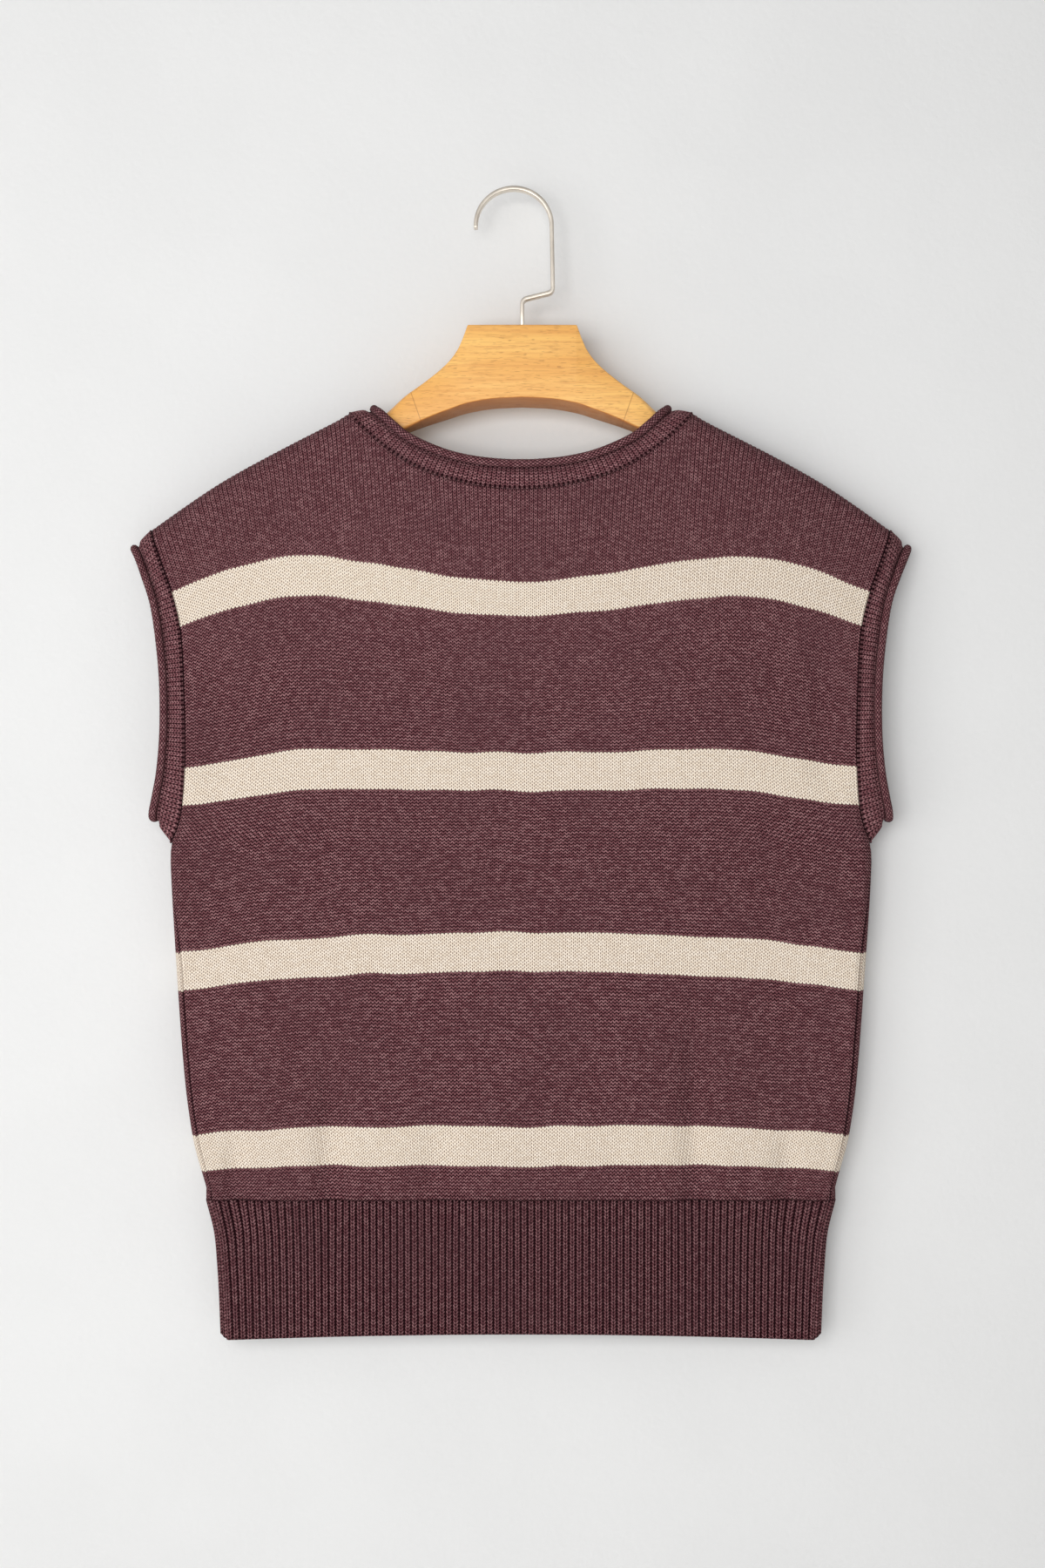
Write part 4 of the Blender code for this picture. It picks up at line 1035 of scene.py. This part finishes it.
def tube_round(name, centres, first, second, radii, uvs_round, wales, material):
    """A closed tube along a hoop of centres; first and second are square to it."""
    count, sides = radii.shape
    angles = np.linspace(0, 2 * math.pi, sides)
    cosines, sines = (turn(angles)[None, :, None] for turn in (np.cos, np.sin))
    ring = cosines * first[:, None] + sines * second[:, None]
    points = centres[:, None] + radii[..., None] * ring
    uvs = np.stack(np.broadcast_arrays(
        np.linspace(0, wales, count)[:, None], np.linspace(0, uvs_round, sides)[None, :]), -1)
    data = woven_grid(name, points, uvs, closed_rows=True, closed_columns=True)
    return place_piece(name, data, material)


def make_roll(name, hoop, radius, wales, material):
    """The rolled edge: a round tube whose skin is the purl side's small bumps."""
    steps, sides, rounds = 4, 17, 8
    seam, top, seam_out, top_out, seam_up, top_up = hoop_stations(hoop, wales * steps)
    centres = top + top_up * (radius + SEAM) - top_out * (BAND_DEPTH / 2 - ROLL_LEAN)
    u = np.arange(wales * steps + 1)[:, None] / steps
    v = np.linspace(0, rounds, sides)[None, :]
    bumps = np.abs(np.cos(math.pi * (u + v)) * np.cos(math.pi * (u - v)))
    radii = radius * (0.93 + 0.10 * bumps)
    return tube_round(name, centres, top_out, top_up, radii, rounds, wales, material)


def make_loops(name, hoop, wales, hand, material):
    """A row of linking: a strand that swings up and down the band's foot, once a wale.
    It lies calmer and lower where it goes over the shoulder."""
    steps, sides = 6, 6
    seam, top, seam_out, top_out, seam_up, top_up = hoop_stations(hoop, wales * steps)
    turn = 2 * math.pi * np.arange(wales * steps + 1)[:, None] / steps
    calm = 1 - 0.9 * ease(seam_out[:, 2:], 0.25, 0.75)
    centres = seam + seam_up * (LOOP_RISE + LOOP_SWING * calm * hand * np.sin(turn))
    centres = centres + seam_out * LOOP_PROUD * (calm * hand * np.cos(turn) - (1 - calm))
    radii = np.full((len(centres), sides), LOOP_YARN)
    return tube_round(name, centres, seam_out, seam_up, radii, 2, wales, material)


# Painted light: the band and the roll are made a tenth lighter than the same yarn elsewhere.
band_knit = knit("plum_band_knit", light=1.10, slant=0.6, furrow=0.15)
roll_knit = knit("plum_rolled_knit", light=1.1, purl=True, wobble=0.06)
loop_yarn = knit("plum_linking_yarn", light=1.0, furrow=0.5, wobble=0.06)
neck_hoop = close_hoop(neck_half(BACK, BACK_NECK_SEAM, BACK_NECK_ROLL),
                       neck_half(FRONT, FRONT_NECK_SEAM, FRONT_NECK_ROLL))
neck_band = make_band("neck_band_knit", neck_hoop, NECK_WALES, band_knit)
neck_roll = make_roll("neck_edge_roll", neck_hoop, NECK_ROLL, NECK_WALES, roll_knit)
neck_loops = [make_loops("neck_linking_" + word, neck_hoop, NECK_WALES, hand, loop_yarn)
              for word, hand in (("upper", 1), ("lower", -1))]
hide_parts("neck_band")
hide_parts("neck_rolled_edge")

# ---------------------------------------------------------------- the arm bands
# The same narrow bands round both armholes, which take the place of sleeves. The roll
# stands out from the shoulder and comes in to a point under the arm.
ARM_WALES = 140
ARM_ROLL = 0.0028
ARMHOLE_STATIONS = 150
CuffRow = namedtuple("CuffRow", "height half_width half_depth")
ARM_ROLL_LINE = table(
    CuffRow,
    (-0.4492, 0.2594, 0.0000),
    (-0.4480, 0.2591, 0.0050),
    (-0.4420, 0.2578, 0.0090),
    (-0.4315, 0.2552, 0.0118),
    (-0.4130, 0.2518, 0.0134),
    (-0.3865, 0.2496, 0.0142),
    (-0.3550, 0.2497, 0.0146),
    (-0.3266, 0.2520, 0.0146),
    (-0.2950, 0.2570, 0.0142),
    (-0.2720, 0.2650, 0.0125),
    (-0.2590, 0.2708, 0.0092),
    (-0.2530, 0.2738, 0.0048),
    (-0.2512, 0.2748, 0.0000),
)


def arm_hoop(hand):
    """The armhole's hoop on one side: hand is -1 at the left and 1 at the right."""
    t = np.linspace(0, 1, ARMHOLE_STATIONS)
    up = UNDERARM + (tip_up - UNDERARM) * (0.35 * t + 0.65 * (1 - np.cos(t * math.pi)) / 2)
    halves = []
    for side in (BACK, FRONT):
        across = hand * panel_edge(side, up)
        seam = outer_point(side, across, up)
        line = []
        for row in ARM_ROLL_LINE:
            x = hand * row.half_width
            y = float(middle_depth(x, row.height)) + side * row.half_depth
            shift = FAR_ARMHOLE_SHIFT * min(row.half_depth / 0.012, 1.0) * (side == FRONT)
            line.append(np.array((x + shift + MIDDLE, y, row.height)))
        top = straight_across(curve_through(line), seam)
        halves.append((seam, top, outward(side, across, up)))
    return close_hoop(*halves)


arm_bands, arm_rolls, arm_loops = [], [], []
for hand, word in ((-1, "left"), (1, "right")):
    hoop = arm_hoop(hand)
    arm_bands.append(make_band(word + "_arm_band_knit", hoop, ARM_WALES, band_knit))
    arm_rolls.append(make_roll(word + "_arm_edge_roll", hoop, ARM_ROLL, ARM_WALES, roll_knit))
    arm_loops.append([
        make_loops(word + "_arm_linking_" + row, hoop, ARM_WALES, up, loop_yarn)
        for row, up in (("upper", 1), ("lower", -1))
    ])
    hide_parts(word + "_arm_band")
    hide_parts(word + "_arm_rolled_edge")

# ---------------------------------------------------------------- wall, floor and light
# The sweater hangs before a plain plastered wall over a pale floor, in soft light from a
# large window on the left and from a smaller one beside the camera.
WALL = 0.0250
FLOOR = -1.160
ROOM = 3.0
WALL_TOP = 1.6
PLASTER = (0.83, 0.83, 0.825)
SWEATER_MIDDLE = (0.0, 0.0, -0.42)
CAMERA_PLACE = (0.0062, -1.6, -0.4222)
VIEW_ANGLE = 38.45


def plain_sheet(name, points, faces, material):
    """A flat piece of the stage, with its face turned the way that faces says."""
    data = woven_grid(name, np.array(points, dtype=float))
    if data.polygons[0].normal.dot(faces) < 0:
        data.flip_normals()
    piece = bpy.data.objects.new(name, data)
    bpy.context.scene.collection.objects.link(piece)
    data.materials.append(material)


def plaster(name, colour, one_sided):
    skim = Nodes(name, colour, 0.93)
    pebbles = skim.grain(260.0, detail=4.0)
    slow = skim.grain(9.0, detail=2.0)
    tone = skim.blend(skim.step(slow, 0.3, 0.7, 0.0, 0.35), colour, tone_and_painted_light(colour, 0.94))
    skim.put("Base Color", tone)
    skim.relief(pebbles, 0.0012, 0.30)
    if one_sided:
        clear, swap = skim.add("BsdfTransparent"), skim.add("MixShader")
        behind = skim.add("NewGeometry").outputs["Backfacing"]
        for socket, given in zip(swap.inputs, (behind, skim.shader.outputs[0], clear.outputs[0])):
            skim.feed(socket, given)
        skim.feed(skim.tree.nodes["Material Output"].inputs["Surface"], swap.outputs[0])
    return skim.material


plain_sheet("wall", [[(x, WALL, z) for x in (-ROOM, ROOM)] for z in (FLOOR, WALL_TOP)],
            Vector((0, -1, 0)), plaster("plaster_wall", PLASTER, True))
plain_sheet("floor", [[(x, y, FLOOR) for x in (-ROOM, ROOM)] for y in (-ROOM, ROOM)],
            Vector((0, 0, 1)), plaster("pale_floor", PLASTER, False))


def soft_light(name, place, towards, size, watts):
    lamp = bpy.data.lights.new(name, "AREA")
    lamp.shape = "SQUARE"
    lamp.size = size
    lamp.energy = watts
    piece = bpy.data.objects.new(name, lamp)
    piece.location = place
    piece.rotation_euler = (Vector(towards) - Vector(place)).to_track_quat("-Z", "Y").to_euler()
    bpy.context.scene.collection.objects.link(piece)


soft_light("window", (-1.75, -2.1, -0.55), SWEATER_MIDDLE, 1.7, 18.0)
soft_light("front", (-0.35, -2.1, -0.30), SWEATER_MIDDLE, 1.1, 23.0)
world = bpy.data.worlds.new("room")
bpy.context.scene.world = world
world.use_nodes = True
world.node_tree.nodes["Background"].inputs[0].default_value = (1.0, 1.0, 1.0, 1)
world.node_tree.nodes["Background"].inputs[1].default_value = 0.33

bpy.context.scene.view_settings.view_transform = "Standard"

camera_data = bpy.data.cameras.new("camera")
camera_data.angle = math.radians(VIEW_ANGLE)
camera = bpy.data.objects.new("camera", camera_data)
camera.location = CAMERA_PLACE
camera.rotation_euler = (math.radians(90), 0, 0)
bpy.context.scene.collection.objects.link(camera)
bpy.context.scene.camera = camera
